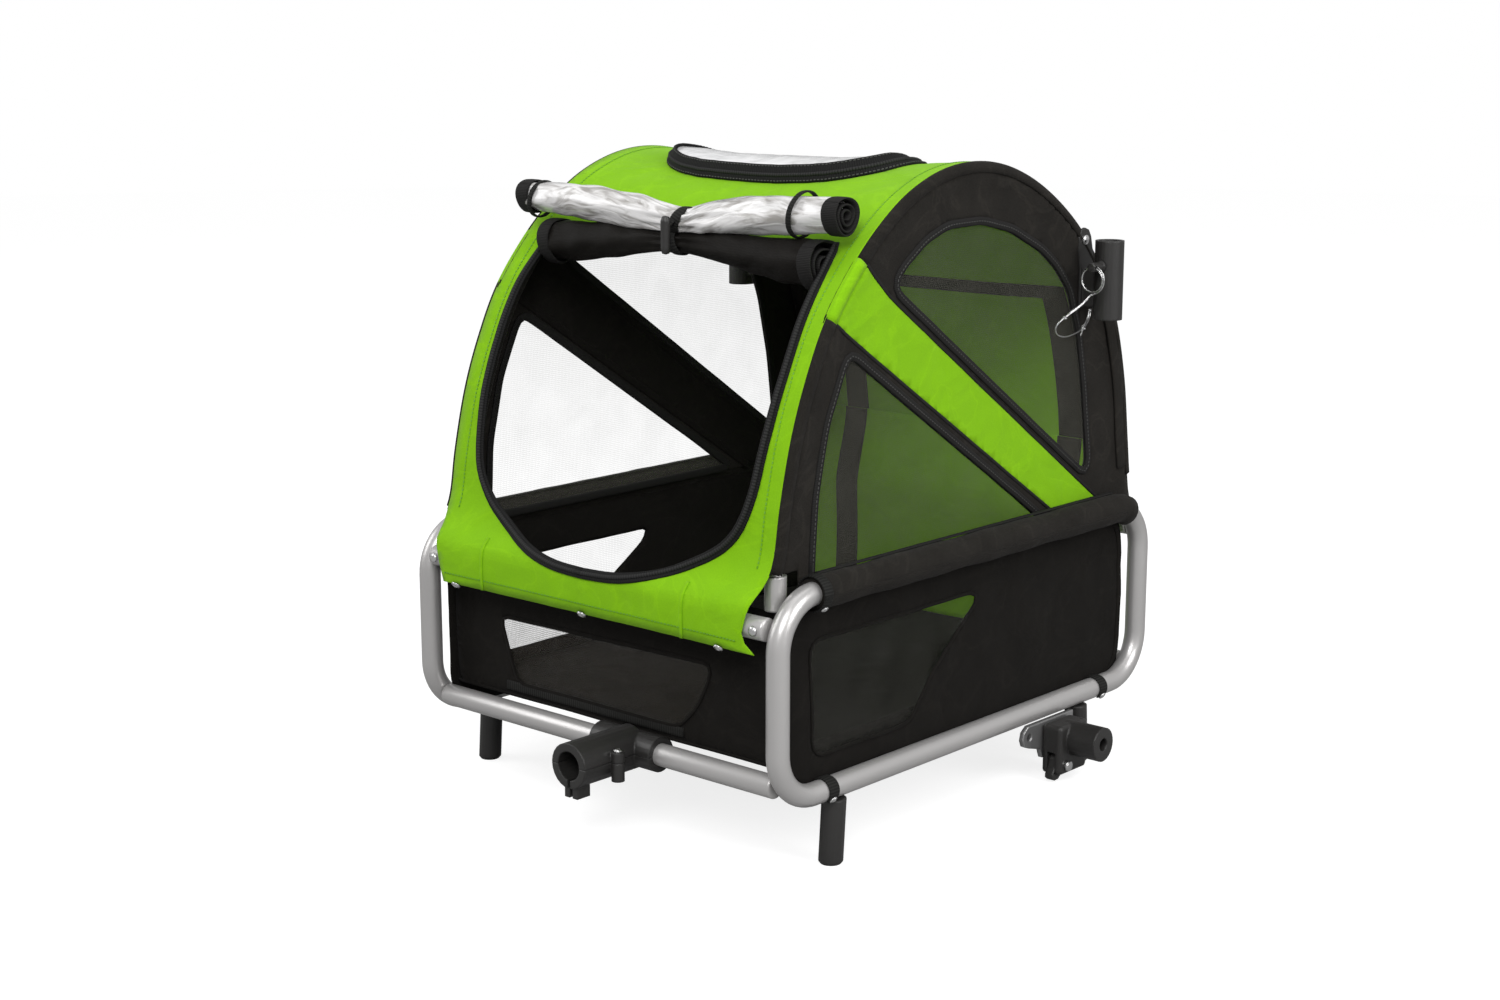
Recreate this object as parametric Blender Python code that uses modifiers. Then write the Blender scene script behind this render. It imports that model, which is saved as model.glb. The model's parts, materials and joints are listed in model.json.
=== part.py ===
"""Cabin of a small bicycle trailer: tube frame, cloth body, roll-up front door, hub receivers and sockets."""

import math

import bmesh
import bpy
from mathutils import Matrix, Vector

# Driving dimensions, in metres. The front faces -Y, +Z is up and the feet stand on z = 0.
GAP = 0.0003
TUBE_R = 0.0111
LOOP_X = 0.240
LOOP_Y = 0.301
RAIL_LOW_Z = 0.075
RAIL_TOP_Z = 0.268
LOOP_BEND_R = 0.050
CROSS_LOW_Y = 0.290
CROSS_LOW_Z = 0.0886
CROSS_TOP_Z = 0.241
CROSS_HALF = 0.2285
HOOP_X = 0.2122
HOOP_R = 0.0087
HOOP_INSET = 0.0112
HOOP_FOOT_X = 0.2138
HOOP_FOOT_Y = -0.2745
HOOP_FOOT_R = 0.0105
HOOP_FOOT_Z = 0.2525
LEG_R = 0.0120
LEG_FRONT_Y = -0.224
LEG_REAR_Y = 0.192
LEG_LEAN = math.radians(4)
CLOTH = 0.0020
SKIN_HALF = 0.2210
PANEL_X = 0.2223
PANEL_LOW_Z = 0.2860
SLEEVE_R = 0.0172
SLEEVE_START_Y = -0.250
SLEEVE_END_Y = 0.2500
TUB_HALF_X = 0.2272
TUB_HALF_Y = 0.2760
TUB_TOP_Z = 0.2500
FLOOR_Z = 0.1020
DOOR_TOP_Z = 0.578
SUN_HALF_X = 0.152
SUN_HALF_Y = 0.070
SUN_Y = -0.001
CLEAR_ROLL = (-0.172, 0.602)
MESH_ROLL = (-0.170, 0.558)
TOW_X = 0.040
TOW_MOUTH_Y = -0.374
TOW_R = 0.0225
TOW_BORE_R = 0.0145
TOW_GRIP_R = 0.0176
TOW_GRIP_HALF = 0.041
HUB_Y = 0.138
HUB_Z = 0.044
HUB_R = 0.0182
HUB_BORE_R = 0.0070
HUB_END_X = 0.308
LEVER_Y = 0.122
LEVER_Z = 0.018
SOCKET_X = 0.2552
SOCKET_Y = 0.2026
SOCKET_LOW_Z = 0.479
SOCKET_TOP_Z = 0.561
SOCKET_R = 0.0150
SOCKET_BORE_R = 0.0118
PIN_Z = 0.535
PIN_R = 0.0040
RING_Y = 0.1716
RING_R = 0.0125
RING_WIRE_R = 0.0009
MIDDLE_SHIFT_Y = 0.0291

# Cabin outline in the (y, z) plane, from the front hem over the roof to the rear hem.
OUTLINE = (
    (-0.3150, 0.219), (-0.3158, 0.242), (-0.3130, 0.262), (-0.2965, 0.281), (-0.2854, 0.305),
    (-0.2774, 0.350), (-0.2624, 0.410), (-0.2424, 0.462), (-0.2144, 0.515), (-0.1724, 0.565),
    (-0.1324, 0.600), (-0.0904, 0.626), (-0.0424, 0.643), (0.0076, 0.649), (0.0576, 0.644),
    (0.1076, 0.628), (0.1576, 0.601), (0.2026, 0.566), (0.2426, 0.520), (0.2696, 0.470),
    (0.2886, 0.405), (0.2986, 0.340), (0.3036, 0.305), (0.3075, 0.281), (0.3130, 0.262),
    (0.3158, 0.242), (0.3150, 0.219),
)
FRONT_TOP = 10
REAR_TOP = 16

# Half outline of the front door, in the (x, z) plane.
DOOR_HALF = (
    (0.043, 0.2525), (0.081, 0.262), (0.125, 0.281), (0.161, 0.306), (0.179, 0.340),
    (0.188, 0.400), (0.192, 0.470), (0.191, 0.530), (0.186, DOOR_TOP_Z),
)

# Side cloth in the (y, z) plane: the two mesh windows and the two edges of the slanting band.
LOW_WINDOW = (
    (-0.2354, 0.2935), (0.1116, 0.2935), (0.0956, 0.3050), (-0.1704, 0.4760), (-0.1794, 0.4790),
    (-0.1884, 0.4740), (-0.2144, 0.4180), (-0.2304, 0.3500),
)
TOP_WINDOW = (
    (0.2106, 0.3130), (0.2196, 0.3120), (0.2246, 0.3220), (0.2136, 0.4000), (0.1986, 0.4660),
    (0.1806, 0.5100), (0.1556, 0.5370), (0.1256, 0.5570), (0.0736, 0.5800), (0.0226, 0.5910),
    (-0.0334, 0.5900), (-0.0674, 0.5780), (-0.1014, 0.5560), (-0.1134, 0.5440), (-0.1124, 0.5320),
)
BAND_LOW = ((-0.2139, 0.516), (0.1296, 0.2960))
BAND_TOP = ((-0.1224, 0.5290), (0.2076, 0.3040))

COLLECTION = "bicycle_trailer_cabin"

GREEN = ("lime_cloth", (0.209, 0.515, 0.013), 0.75, 0.0)
BLACK_CLOTH = ("black_cloth", (0.023, 0.021, 0.020), 0.80, 0.0)
MESH_CLOTH = ("mesh_cloth", (0.030, 0.040, 0.022), 0.85, 0.0)
GREY_PAINT = ("grey_paint", (0.434, 0.423, 0.423), 0.38, 0.4)
BLACK_PLASTIC = ("black_plastic", (0.017, 0.015, 0.014), 0.45, 0.0)
ZINC = ("zinc", (0.640, 0.640, 0.650), 0.28, 1.0)
STEEL = ("grey_steel", (0.300, 0.300, 0.300), 0.40, 0.8)
CLEAR = ("clear_film", (0.820, 0.830, 0.840), 0.15, 0.0)


def clear_scene():
    for item in list(bpy.data.objects):
        bpy.data.objects.remove(item, do_unlink=True)


def collection(name):
    made = bpy.data.collections.new(name)
    bpy.context.scene.collection.children.link(made)
    return made


def material(name, look):
    kind, colour, roughness, metallic = look
    made = bpy.data.materials.new(f"{name}_{kind}")
    made.use_nodes = True
    shader = made.node_tree.nodes["Principled BSDF"]
    shader.inputs["Base Color"].default_value = (*colour, 1.0)
    shader.inputs["Roughness"].default_value = roughness
    shader.inputs["Metallic"].default_value = metallic
    return made


def add(name, data, look, place=None):
    """Link an object into the part's collection with its own material."""
    made = bpy.data.objects.new(name, data)
    PARTS.objects.link(made)
    data.materials.append(material(name, look))
    if place is not None:
        made.matrix_world = place
    return made


def smooth(obj):
    for face in obj.data.polygons:
        face.use_smooth = True


def spline_points(points, steps):
    """Smooth curve through hand-chosen points."""
    vectors = [Vector(p) for p in points]
    found = []
    for k in range(len(vectors) - 1):
        before = vectors[max(k - 1, 0)]
        start = vectors[k]
        end = vectors[k + 1]
        after = vectors[min(k + 2, len(vectors) - 1)]
        for step in range(steps):
            t = step / steps
            a = (2 * start) + (end - before) * t
            b = (2 * before - 5 * start + 4 * end - after) * t * t
            c = (3 * start - before - 3 * end + after) * t ** 3
            found.append((a + b + c) / 2)
    found.append(vectors[-1])
    return found


def tube(name, points, radius, look, closed=False, sides=3):
    curve = bpy.data.curves.new(name, "CURVE")
    curve.dimensions = "3D"
    curve.bevel_depth = radius
    curve.bevel_resolution = sides
    curve.use_fill_caps = True
    curve.twist_mode = "MINIMUM"
    line = curve.splines.new("POLY")
    line.points.add(len(points) - 1)
    for spot, place in zip(line.points, points):
        spot.co = (*place, 1.0)
    line.use_cyclic_u = closed
    line.use_smooth = True
    return add(name, curve, look)


def as_mesh(obj):
    """Replace a curve object by its mesh, with the end caps welded."""
    bpy.context.view_layer.update()
    graph = bpy.context.evaluated_depsgraph_get()
    data = bpy.data.meshes.new_from_object(obj.evaluated_get(graph))
    shape = bmesh.new()
    shape.from_mesh(data)
    bmesh.ops.remove_doubles(shape, verts=shape.verts, dist=0.00001)
    bmesh.ops.recalc_face_normals(shape, faces=shape.faces)
    shape.to_mesh(data)
    shape.free()
    name = obj.name
    owner = obj.users_collection[0]
    place = obj.matrix_world.copy()
    bpy.data.objects.remove(obj, do_unlink=True)
    made = bpy.data.objects.new(name, data)
    made.matrix_world = place
    owner.objects.link(made)
    return made


SIDE_PLANE = Matrix(((0, 0, 1, 0), (1, 0, 0, 0), (0, 1, 0, 0), (0, 0, 0, 1)))
FRONT_PLANE = Matrix(((1, 0, 0, 0), (0, 0, -1, 0), (0, 1, 0, 0), (0, 0, 0, 1)))
ALONG_X = Matrix.Rotation(math.pi / 2, 4, "Y")
ALONG_BACK = Matrix.Rotation(math.pi / 2, 4, "X")


def plate(name, loops, thickness, look, plane, offset):
    """Flat plate from outlines in a plane; inner outlines become holes."""
    curve = bpy.data.curves.new(name, "CURVE")
    curve.dimensions = "2D"
    curve.fill_mode = "BOTH"
    curve.extrude = thickness / 2
    for loop in loops:
        line = curve.splines.new("POLY")
        line.points.add(len(loop) - 1)
        for spot, place in zip(line.points, loop):
            spot.co = (place[0], place[1], 0.0, 1.0)
        line.use_cyclic_u = True
    return add(name, curve, look, Matrix.Translation(offset) @ plane)


def turned(name, profile, look, place, steps=20, ring=False):
    """Turned piece about its own Z axis; the profile runs from top to bottom on the outer side."""
    data = bpy.data.meshes.new(name)
    edges = [(k, k + 1) for k in range(len(profile) - 1)]
    if ring:
        edges.append((len(profile) - 1, 0))
    data.from_pydata([(r, 0.0, z) for r, z in profile], edges, [])
    made = add(name, data, look, place)
    screw = made.modifiers.new("turn", "SCREW")
    screw.axis = "Z"
    screw.steps = steps
    screw.render_steps = steps
    screw.use_merge_vertices = True
    screw.merge_threshold = 0.00001
    screw.use_smooth_shade = True
    return made


def box(name, low, high, look, bevel=0.0):
    data = bpy.data.meshes.new(name)
    shape = bmesh.new()
    bmesh.ops.create_cube(shape, size=1.0)
    size = Vector(high) - Vector(low)
    centre = (Vector(high) + Vector(low)) / 2
    bmesh.ops.scale(shape, vec=size, verts=shape.verts)
    bmesh.ops.translate(shape, vec=centre, verts=shape.verts)
    shape.to_mesh(data)
    shape.free()
    made = add(name, data, look)
    if bevel:
        edge = made.modifiers.new("edges", "BEVEL")
        edge.width = bevel
        edge.segments = 2
    return made


def cutter(obj):
    """Move a helper out of the part's collection."""
    PARTS.objects.unlink(obj)
    CUTTERS.objects.link(obj)
    obj.hide_render = True
    obj.display_type = "WIRE"
    return obj


def join(target, other, operation):
    change = target.modifiers.new(f"{operation.lower()}_{other.name}", "BOOLEAN")
    change.operation = operation
    change.solver = "EXACT"
    change.object = other
    return target


def rod(name, radius, start, end, look=BLACK_PLASTIC, steps=20):
    """Straight round bar between two points."""
    start = Vector(start)
    end = Vector(end)
    length = (end - start).length
    turn = Vector((0, 0, 1)).rotation_difference(end - start).to_matrix().to_4x4()
    profile = ((0.0, length), (radius, length), (radius, 0.0), (0.0, 0.0))
    return turned(name, profile, look, Matrix.Translation(start) @ turn, steps)


def side_name(side):
    return "right" if side > 0 else "left"


def side_loops():
    """Rounded rectangle of tube on each side."""
    for side in (-1, 1):
        points = []
        low = RAIL_LOW_Z + LOOP_BEND_R
        top = RAIL_TOP_Z - LOOP_BEND_R
        reach = LOOP_Y - LOOP_BEND_R
        corners = ((reach, low, -90), (reach, top, 0), (-reach, top, 90), (-reach, low, 180))
        for y, z, first in corners:
            for step in range(7):
                turn = math.radians(first + 15 * step)
                points.append((
                    side * LOOP_X,
                    y + LOOP_BEND_R * math.cos(turn),
                    z + LOOP_BEND_R * math.sin(turn),
                ))
        tube(f"side_loop_{side_name(side)}", points, TUBE_R, GREY_PAINT, closed=True)


def cross_tubes():
    for end, y_sign in (("front", -1), ("rear", 1)):
        low = y_sign * CROSS_LOW_Y
        top = y_sign * LOOP_Y
        rod(f"cross_tube_low_{end}", TUBE_R, (-CROSS_HALF, low, CROSS_LOW_Z),
            (CROSS_HALF, low, CROSS_LOW_Z), GREY_PAINT)
        rod(f"cross_tube_top_{end}", TUBE_R, (-CROSS_HALF, top, CROSS_TOP_Z),
            (CROSS_HALF, top, CROSS_TOP_Z), GREY_PAINT)
    for side in (-1, 1):
        pan_screw(f"frame_screw_{side_name(side)}", (side * 0.2195, -LOOP_Y - TUBE_R - GAP, CROSS_TOP_Z),
                  ALONG_BACK, 0.0050)


def pan_screw(name, place, turn, radius):
    """Pan head with a cross recess left plain; the flat side lies on its seat."""
    profile = ((0.0, 0.0028), (radius * 0.55, 0.0025), (radius * 0.9, 0.0015), (radius, 0.0), (0.0, 0.0))
    return turned(name, profile, ZINC, Matrix.Translation(place) @ turn, 16)


def outline_inside(inset):
    """Cabin outline moved inwards along its normals, from foot to foot of the hoop."""
    curve = spline_points([(0.0, y, z) for y, z in OUTLINE[4:-4]], 3)
    moved = []
    for k, spot in enumerate(curve):
        along = curve[min(k + 1, len(curve) - 1)] - curve[max(k - 1, 0)]
        along.normalize()
        moved.append(spot + Vector((0.0, along.z, -along.y)) * inset)
    return moved


def hoops():
    path = outline_inside(HOOP_INSET)
    for side in (-1, 1):
        points = [(side * HOOP_FOOT_X, HOOP_FOOT_Y, HOOP_FOOT_Z), (side * HOOP_FOOT_X, HOOP_FOOT_Y, 0.268)]
        points.append((side * HOOP_X, HOOP_FOOT_Y, 0.288))
        points += [(side * HOOP_X, spot.y, spot.z) for spot in path]
        points.append((side * HOOP_X, path[-1].y, HOOP_FOOT_Z))
        name = side_name(side)
        made = as_mesh(tube(f"hoop_{name}", points, HOOP_R, GREY_PAINT, sides=2))
        for end, x, y in (("front", HOOP_FOOT_X, HOOP_FOOT_Y), ("rear", HOOP_X, path[-1].y)):
            stub = rod(f"add_stub_{end}_{name}", HOOP_FOOT_R, (side * x, y, HOOP_FOOT_Z - 0.0001),
                       (side * x, y, 0.2850), GREY_PAINT)
            join(made, cutter(stub), "UNION")


def legs():
    """Short plastic legs under the lower rails, leaning a little to the front and to the rear."""
    length = RAIL_LOW_Z - TUBE_R - GAP
    profile = ((0.0, length), (LEG_R, length), (LEG_R, 0.0025), (LEG_R - 0.002, 0.0), (0.0, 0.0))
    for end, y, lean in (("front", LEG_FRONT_Y, LEG_LEAN), ("rear", LEG_REAR_Y, -LEG_LEAN)):
        slant = Matrix.Identity(4)
        slant[1][2] = math.tan(lean)
        for side in (-1, 1):
            made = bake(turned(f"leg_{end}_{side_name(side)}", profile, BLACK_PLASTIC, Matrix.Identity(4)))
            made.data.transform(slant)
            made.location = (side * LOOP_X, y, 0.0)


def bake(obj):
    """Replace an object's modifiers by the mesh that they make."""
    bpy.context.view_layer.update()
    graph = bpy.context.evaluated_depsgraph_get()
    data = bpy.data.meshes.new_from_object(obj.evaluated_get(graph))
    obj.modifiers.clear()
    obj.data = data
    return obj


def sheet(name, first, last, look):
    """Curved cloth from a stretch of the outline, narrower at the hems."""
    rows = spline_points([(0.0, y, z) for y, z in OUTLINE], 2)[first * 2:last * 2 + 1]
    data = bpy.data.meshes.new(name)
    shape = bmesh.new()
    left = []
    for spot in rows:
        half = SKIN_HALF
        if spot.z < 0.290:
            half = 0.2030 + (SKIN_HALF - 0.2030) * (spot.z - 0.219) / 0.071
        left.append((half, spot))
    line = [shape.verts.new((-half, spot.y, spot.z)) for half, spot in left]
    edges = [shape.edges.new((a, b)) for a, b in zip(line, line[1:])]
    grown = bmesh.ops.extrude_edge_only(shape, edges=edges)["geom"]
    for vert in [item for item in grown if isinstance(item, bmesh.types.BMVert)]:
        vert.co.x = -vert.co.x
    for face in shape.faces:
        face.normal_update()
        away = face.calc_center_median() - Vector((0.0, 0.0, 0.35))
        if face.normal.dot(away) < 0:
            face.normal_flip()
    shape.to_mesh(data)
    shape.free()
    made = add(name, data, look)
    thick = made.modifiers.new("cloth", "SOLIDIFY")
    thick.thickness = CLOTH
    thick.offset = -1.0
    smooth(made)
    return made


def oval(half_x, half_y, centre_y, count=28):
    points = []
    for k in range(count):
        turn = 2 * math.pi * k / count
        lift = math.copysign(abs(math.sin(turn)) ** 0.8, math.sin(turn))
        flat = math.copysign(abs(math.cos(turn)) ** 0.6, math.cos(turn))
        points.append((half_x * flat, centre_y + half_y * lift))
    return points


def prism(name, loop, depth, plane, offset):
    return cutter(as_mesh(plate(name, [loop], depth, BLACK_CLOTH, plane, offset)))


def canopy():
    """Front, roof and rear cloth with the door and the sun window cut out."""
    front = sheet("canopy_front", 0, FRONT_TOP, GREEN)
    roof = sheet("canopy_roof", FRONT_TOP, REAR_TOP, GREEN)
    rear = sheet("canopy_rear", REAR_TOP, len(OUTLINE) - 1, GREEN)
    opening = list(DOOR_HALF) + [(-x, z) for x, z in reversed(DOOR_HALF)]
    join(front, prism("cut_door", opening, 0.30, FRONT_PLANE, (0, -0.30, 0)), "DIFFERENCE")
    window = oval(SUN_HALF_X, SUN_HALF_Y, SUN_Y)
    join(roof, prism("cut_sun", window, 0.20, Matrix.Identity(4), (0, 0, 0.62)), "DIFFERENCE")
    seam_front = cutter(box("cut_seam_front", (-0.3, -0.1354, 0.5), (0.3, -0.1299, 0.7), BLACK_CLOTH))
    join(roof, seam_front, "DIFFERENCE")
    seam_rear = cutter(box("cut_seam_rear", (-0.3, 0.1551, 0.5), (0.3, 0.1606, 0.7), BLACK_CLOTH))
    join(roof, seam_rear, "DIFFERENCE")
    film = sheet("sun_window_film", FRONT_TOP, REAR_TOP, CLEAR)
    inner = oval(SUN_HALF_X - 0.0006, SUN_HALF_Y - 0.0006, SUN_Y)
    join(film, prism("keep_sun", inner, 0.20, Matrix.Identity(4), (0, 0, 0.62)), "INTERSECT")
    return front, roof, rear


def shrunk(loop, margin):
    """Outline pulled in by about the margin towards its middle."""
    middle_y = sum(p[0] for p in loop) / len(loop)
    middle_z = sum(p[1] for p in loop) / len(loop)
    reach = min(math.hypot(y - middle_y, z - middle_z) for y, z in loop)
    keep = 1 - margin / reach
    return [(middle_y + (y - middle_y) * keep, middle_z + (z - middle_z) * keep) for y, z in loop]


def along_line(line, z=None, y=None):
    (y0, z0), (y1, z1) = line
    if y is None:
        return (y0 + (y1 - y0) * (z - z0) / (z1 - z0), z)
    return (y, z0 + (z1 - z0) * (y - y0) / (y1 - y0))


def side_cloth():
    """Each side: black front cloth, slanting green band, black rear arch and two mesh windows."""
    curve = [(p.y, p.z) for p in spline_points([(0.0, y, z) for y, z in OUTLINE], 2)]
    edge = [p for p in curve if p[1] >= PANEL_LOW_Z]
    start = (edge[0][0] - 0.002, PANEL_LOW_Z)
    end = (edge[-1][0] + 0.002, PANEL_LOW_Z)
    front_edge = [p for p in edge if p[0] < -0.15 and p[1] < 0.520]
    band_edge = [p for p in edge if p[0] < -0.12 and 0.520 < p[1] < 0.590]
    rear_edge = [p for p in edge if p[0] > -0.15 and p not in band_edge]
    low_end = along_line(BAND_LOW, z=PANEL_LOW_Z)
    top_end = along_line(BAND_TOP, z=PANEL_LOW_Z)
    low_start = along_line(BAND_LOW, y=front_edge[-1][0] + 0.0004)
    top_start = (rear_edge[0][0] + 0.0002, rear_edge[0][1] - 0.0006)
    knee = BAND_TOP[0]
    front = [start] + front_edge + [low_start, (low_end[0] - 0.0006, low_end[1])]
    band = [(low_start[0] + 0.0006, low_start[1] + 0.0006)] + band_edge
    band += [(top_start[0] - 0.0008, top_start[1] - 0.0006), (knee[0] - 0.0006, knee[1] - 0.0006)]
    band += [(top_end[0] - 0.0012, top_end[1])]
    band += [(low_end[0] + 0.0006, low_end[1])]
    arch = [top_start] + rear_edge + [end, top_end, knee]
    for side in (-1, 1):
        name = side_name(side)
        place = (side * PANEL_X, 0, 0)
        plate(f"side_front_cloth_{name}", [front, LOW_WINDOW], CLOTH, BLACK_CLOTH, SIDE_PLANE, place)
        plate(f"side_band_{name}", [band], CLOTH, GREEN, SIDE_PLANE, place)
        plate(f"side_arch_{name}", [arch, TOP_WINDOW], CLOTH, BLACK_CLOTH, SIDE_PLANE, place)
        plate(f"side_mesh_low_{name}", [shrunk(LOW_WINDOW, 0.0006)], 0.001, MESH_CLOTH, SIDE_PLANE, place)
        plate(f"side_mesh_top_{name}", [shrunk(TOP_WINDOW, 0.0006)], 0.001, MESH_CLOTH, SIDE_PLANE, place)


def sleeves():
    """Cloth sleeve round each upper rail."""
    for side in (-1, 1):
        inner = TUBE_R + GAP
        length = SLEEVE_END_Y - SLEEVE_START_Y
        profile = ((inner, length), (SLEEVE_R, length), (SLEEVE_R, 0.0), (inner, 0.0))
        place = Matrix.Translation((side * LOOP_X, SLEEVE_END_Y, RAIL_TOP_Z)) @ ALONG_BACK
        turned(f"rail_sleeve_{side_name(side)}", profile, BLACK_CLOTH, place, 20, ring=True)


def tub():
    """Open cloth tub between the frame tubes."""
    box("tub_floor", (-0.2256, -0.2758, FLOOR_Z - 0.002), (0.2256, 0.2758, FLOOR_Z + 0.002), BLACK_CLOTH)
    for side in (-1, 1):
        inner = side * (TUB_HALF_X - 0.001)
        outer = side * (TUB_HALF_X + 0.001)
        low = (min(inner, outer), -TUB_HALF_Y, 0.0700)
        high = (max(inner, outer), TUB_HALF_Y, TUB_TOP_Z)
        box(f"tub_side_{side_name(side)}", low, high, BLACK_CLOTH)
    for end, y, look in (("front", -0.2775, BLACK_CLOTH), ("rear", 0.2775, GREEN)):
        box(f"tub_{end}", (-0.2256, y - 0.001, 0.1050), (0.2256, y + 0.001, 0.2515), look)


def rolls():
    """Rolled-up clear cover and mesh door above the opening, pinched where the tie holds them."""
    clear = ((0.0, 0.425), (0.0150, 0.425), (0.0162, 0.405), (0.0160, 0.330), (0.0135, 0.225), (0.0120, 0.2125),
             (0.0135, 0.200), (0.0160, 0.095), (0.0162, 0.020), (0.0150, 0.0), (0.0, 0.0))
    place = Matrix.Translation((-0.2165, CLEAR_ROLL[0], CLEAR_ROLL[1])) @ ALONG_X
    turned("clear_cover_roll", clear, CLEAR, place, 18)
    mesh = ((0.0, 0.368), (0.0190, 0.368), (0.0200, 0.354), (0.0192, 0.280), (0.0150, 0.198), (0.0115, 0.184),
            (0.0150, 0.170), (0.0192, 0.088), (0.0200, 0.014), (0.0190, 0.0), (0.0, 0.0))
    place = Matrix.Translation((-0.184, MESH_ROLL[0], MESH_ROLL[1])) @ ALONG_X
    turned("mesh_door_roll", mesh, BLACK_CLOTH, place, 18)
    toggle = ((0.0, 0.038), (0.0035, 0.037), (0.0050, 0.033), (0.0050, 0.005), (0.0035, 0.001), (0.0, 0.0))
    turned("tie_toggle", toggle, BLACK_PLASTIC, Matrix.Translation((0.003, -0.1965, 0.559)), 14)


def tow_socket():
    """Two clamp halves on the lower front tube with a socket for the tow arm."""
    grip_start = (TOW_X - TOW_GRIP_HALF, -CROSS_LOW_Y, CROSS_LOW_Z)
    grip_end = (TOW_X + TOW_GRIP_HALF, -CROSS_LOW_Y, CROSS_LOW_Z)
    hole = cutter(rod("cut_grip", TUBE_R + GAP, (TOW_X - 0.06, -CROSS_LOW_Y, CROSS_LOW_Z),
                      (TOW_X + 0.06, -CROSS_LOW_Y, CROSS_LOW_Z), steps=20))
    bore = cutter(rod("cut_tow_bore", TOW_BORE_R, (TOW_X, TOW_MOUTH_Y - 0.01, CROSS_LOW_Z),
                      (TOW_X, -CROSS_LOW_Y - 0.014, CROSS_LOW_Z), steps=24))
    slit = cutter(box("cut_slit", (TOW_X - 0.002, TOW_MOUTH_Y - 0.01, 0.040),
                      (TOW_X + 0.002, -0.330, CROSS_LOW_Z - 0.008), BLACK_PLASTIC))
    for half, low, high in (("upper", CROSS_LOW_Z + GAP / 2, 0.14), ("lower", 0.03, CROSS_LOW_Z - GAP / 2)):
        body = rod(f"tow_clamp_{half}", TOW_GRIP_R, grip_start, grip_end, steps=24)
        spout = cutter(rod(f"add_spout_{half}", TOW_R, (TOW_X, TOW_MOUTH_Y, CROSS_LOW_Z),
                           (TOW_X, -CROSS_LOW_Y, CROSS_LOW_Z), steps=24))
        join(body, spout, "UNION")
        boss = cutter(rod(f"add_screw_boss_{half}", 0.0065, (TOW_X + 0.0265, -0.3340, 0.0700),
                          (TOW_X + 0.0265, -0.3340, 0.0990)))
        join(body, boss, "UNION")
        if half == "lower":
            ears = cutter(box("add_ears", (TOW_X - 0.0085, TOW_MOUTH_Y + 0.003, 0.0560),
                              (TOW_X + 0.0085, TOW_MOUTH_Y + 0.020, 0.0740), BLACK_PLASTIC))
            join(body, ears, "UNION")
        join(body, hole, "DIFFERENCE")
        join(body, bore, "DIFFERENCE")
        keep = cutter(box(f"keep_{half}", (-0.1, -0.45, low), (0.2, -0.2, high), BLACK_PLASTIC))
        join(body, keep, "INTERSECT")
        if half == "lower":
            join(body, slit, "DIFFERENCE")
    pan_screw("tow_clamp_screw", (TOW_X + 0.0265, -0.3340, 0.0990 + GAP), Matrix.Identity(4), 0.0048)


def hubs():
    """Wheel axle receiver under each lower rail, with its release lever on a cross bolt."""
    for side in (-1, 1):
        name = side_name(side)
        outline = [(0.168, 0.0636), (0.086, 0.0636), (0.078, 0.058), (0.076, 0.050), (0.079, 0.043),
                   (0.086, 0.040), (0.108, 0.034), (0.112, 0.024), (0.164, 0.024), (0.168, 0.030)]
        hole = [(0.088 + 0.0040 * math.cos(a * math.pi / 6), 0.0515 + 0.0040 * math.sin(a * math.pi / 6))
                for a in range(12)]
        plate(f"hub_plate_{name}", [outline, hole], 0.005, STEEL, SIDE_PLANE, (side * 0.2472, 0, 0))
        low = (min(side * 0.2500, side * 0.2740), 0.110, 0.0085)
        high = (max(side * 0.2500, side * 0.2740), 0.160, 0.0615)
        body = box(f"hub_receiver_{name}", low, high, BLACK_PLASTIC, bevel=0.004)
        boss = cutter(rod(f"add_boss_{name}", HUB_R, (side * 0.262, HUB_Y, HUB_Z),
                          (side * HUB_END_X, HUB_Y, HUB_Z), steps=28))
        join(body, boss, "UNION")
        bore = cutter(rod(f"cut_hub_bore_{name}", HUB_BORE_R, (side * 0.260, HUB_Y, HUB_Z),
                          (side * 0.32, HUB_Y, HUB_Z), steps=24))
        join(body, bore, "DIFFERENCE")
        slot_low = (min(side * 0.2570, side * 0.2670), 0.100, 0.0)
        slot_high = (max(side * 0.2570, side * 0.2670), 0.1365, 0.0325)
        join(body, cutter(box(f"cut_slot_{name}", slot_low, slot_high, BLACK_PLASTIC)), "DIFFERENCE")
        through = cutter(rod(f"cut_bolt_{name}", 0.0033, (side * 0.24, LEVER_Y, LEVER_Z),
                             (side * 0.28, LEVER_Y, LEVER_Z), steps=16))
        join(body, through, "DIFFERENCE")
        lever(name, side, through)
        shank = ((0.0, 0.0285), (0.0052, 0.0285), (0.0055, 0.0279), (0.0055, 0.0245), (0.0030, 0.0245),
                 (0.0030, 0.0006), (0.0, 0.0006))
        turn = ALONG_X if side > 0 else Matrix.Rotation(-math.pi / 2, 4, "Y")
        turned(f"lever_bolt_{name}", shank, ZINC, Matrix.Translation((side * 0.2498, LEVER_Y, LEVER_Z)) @ turn, 16)


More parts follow.
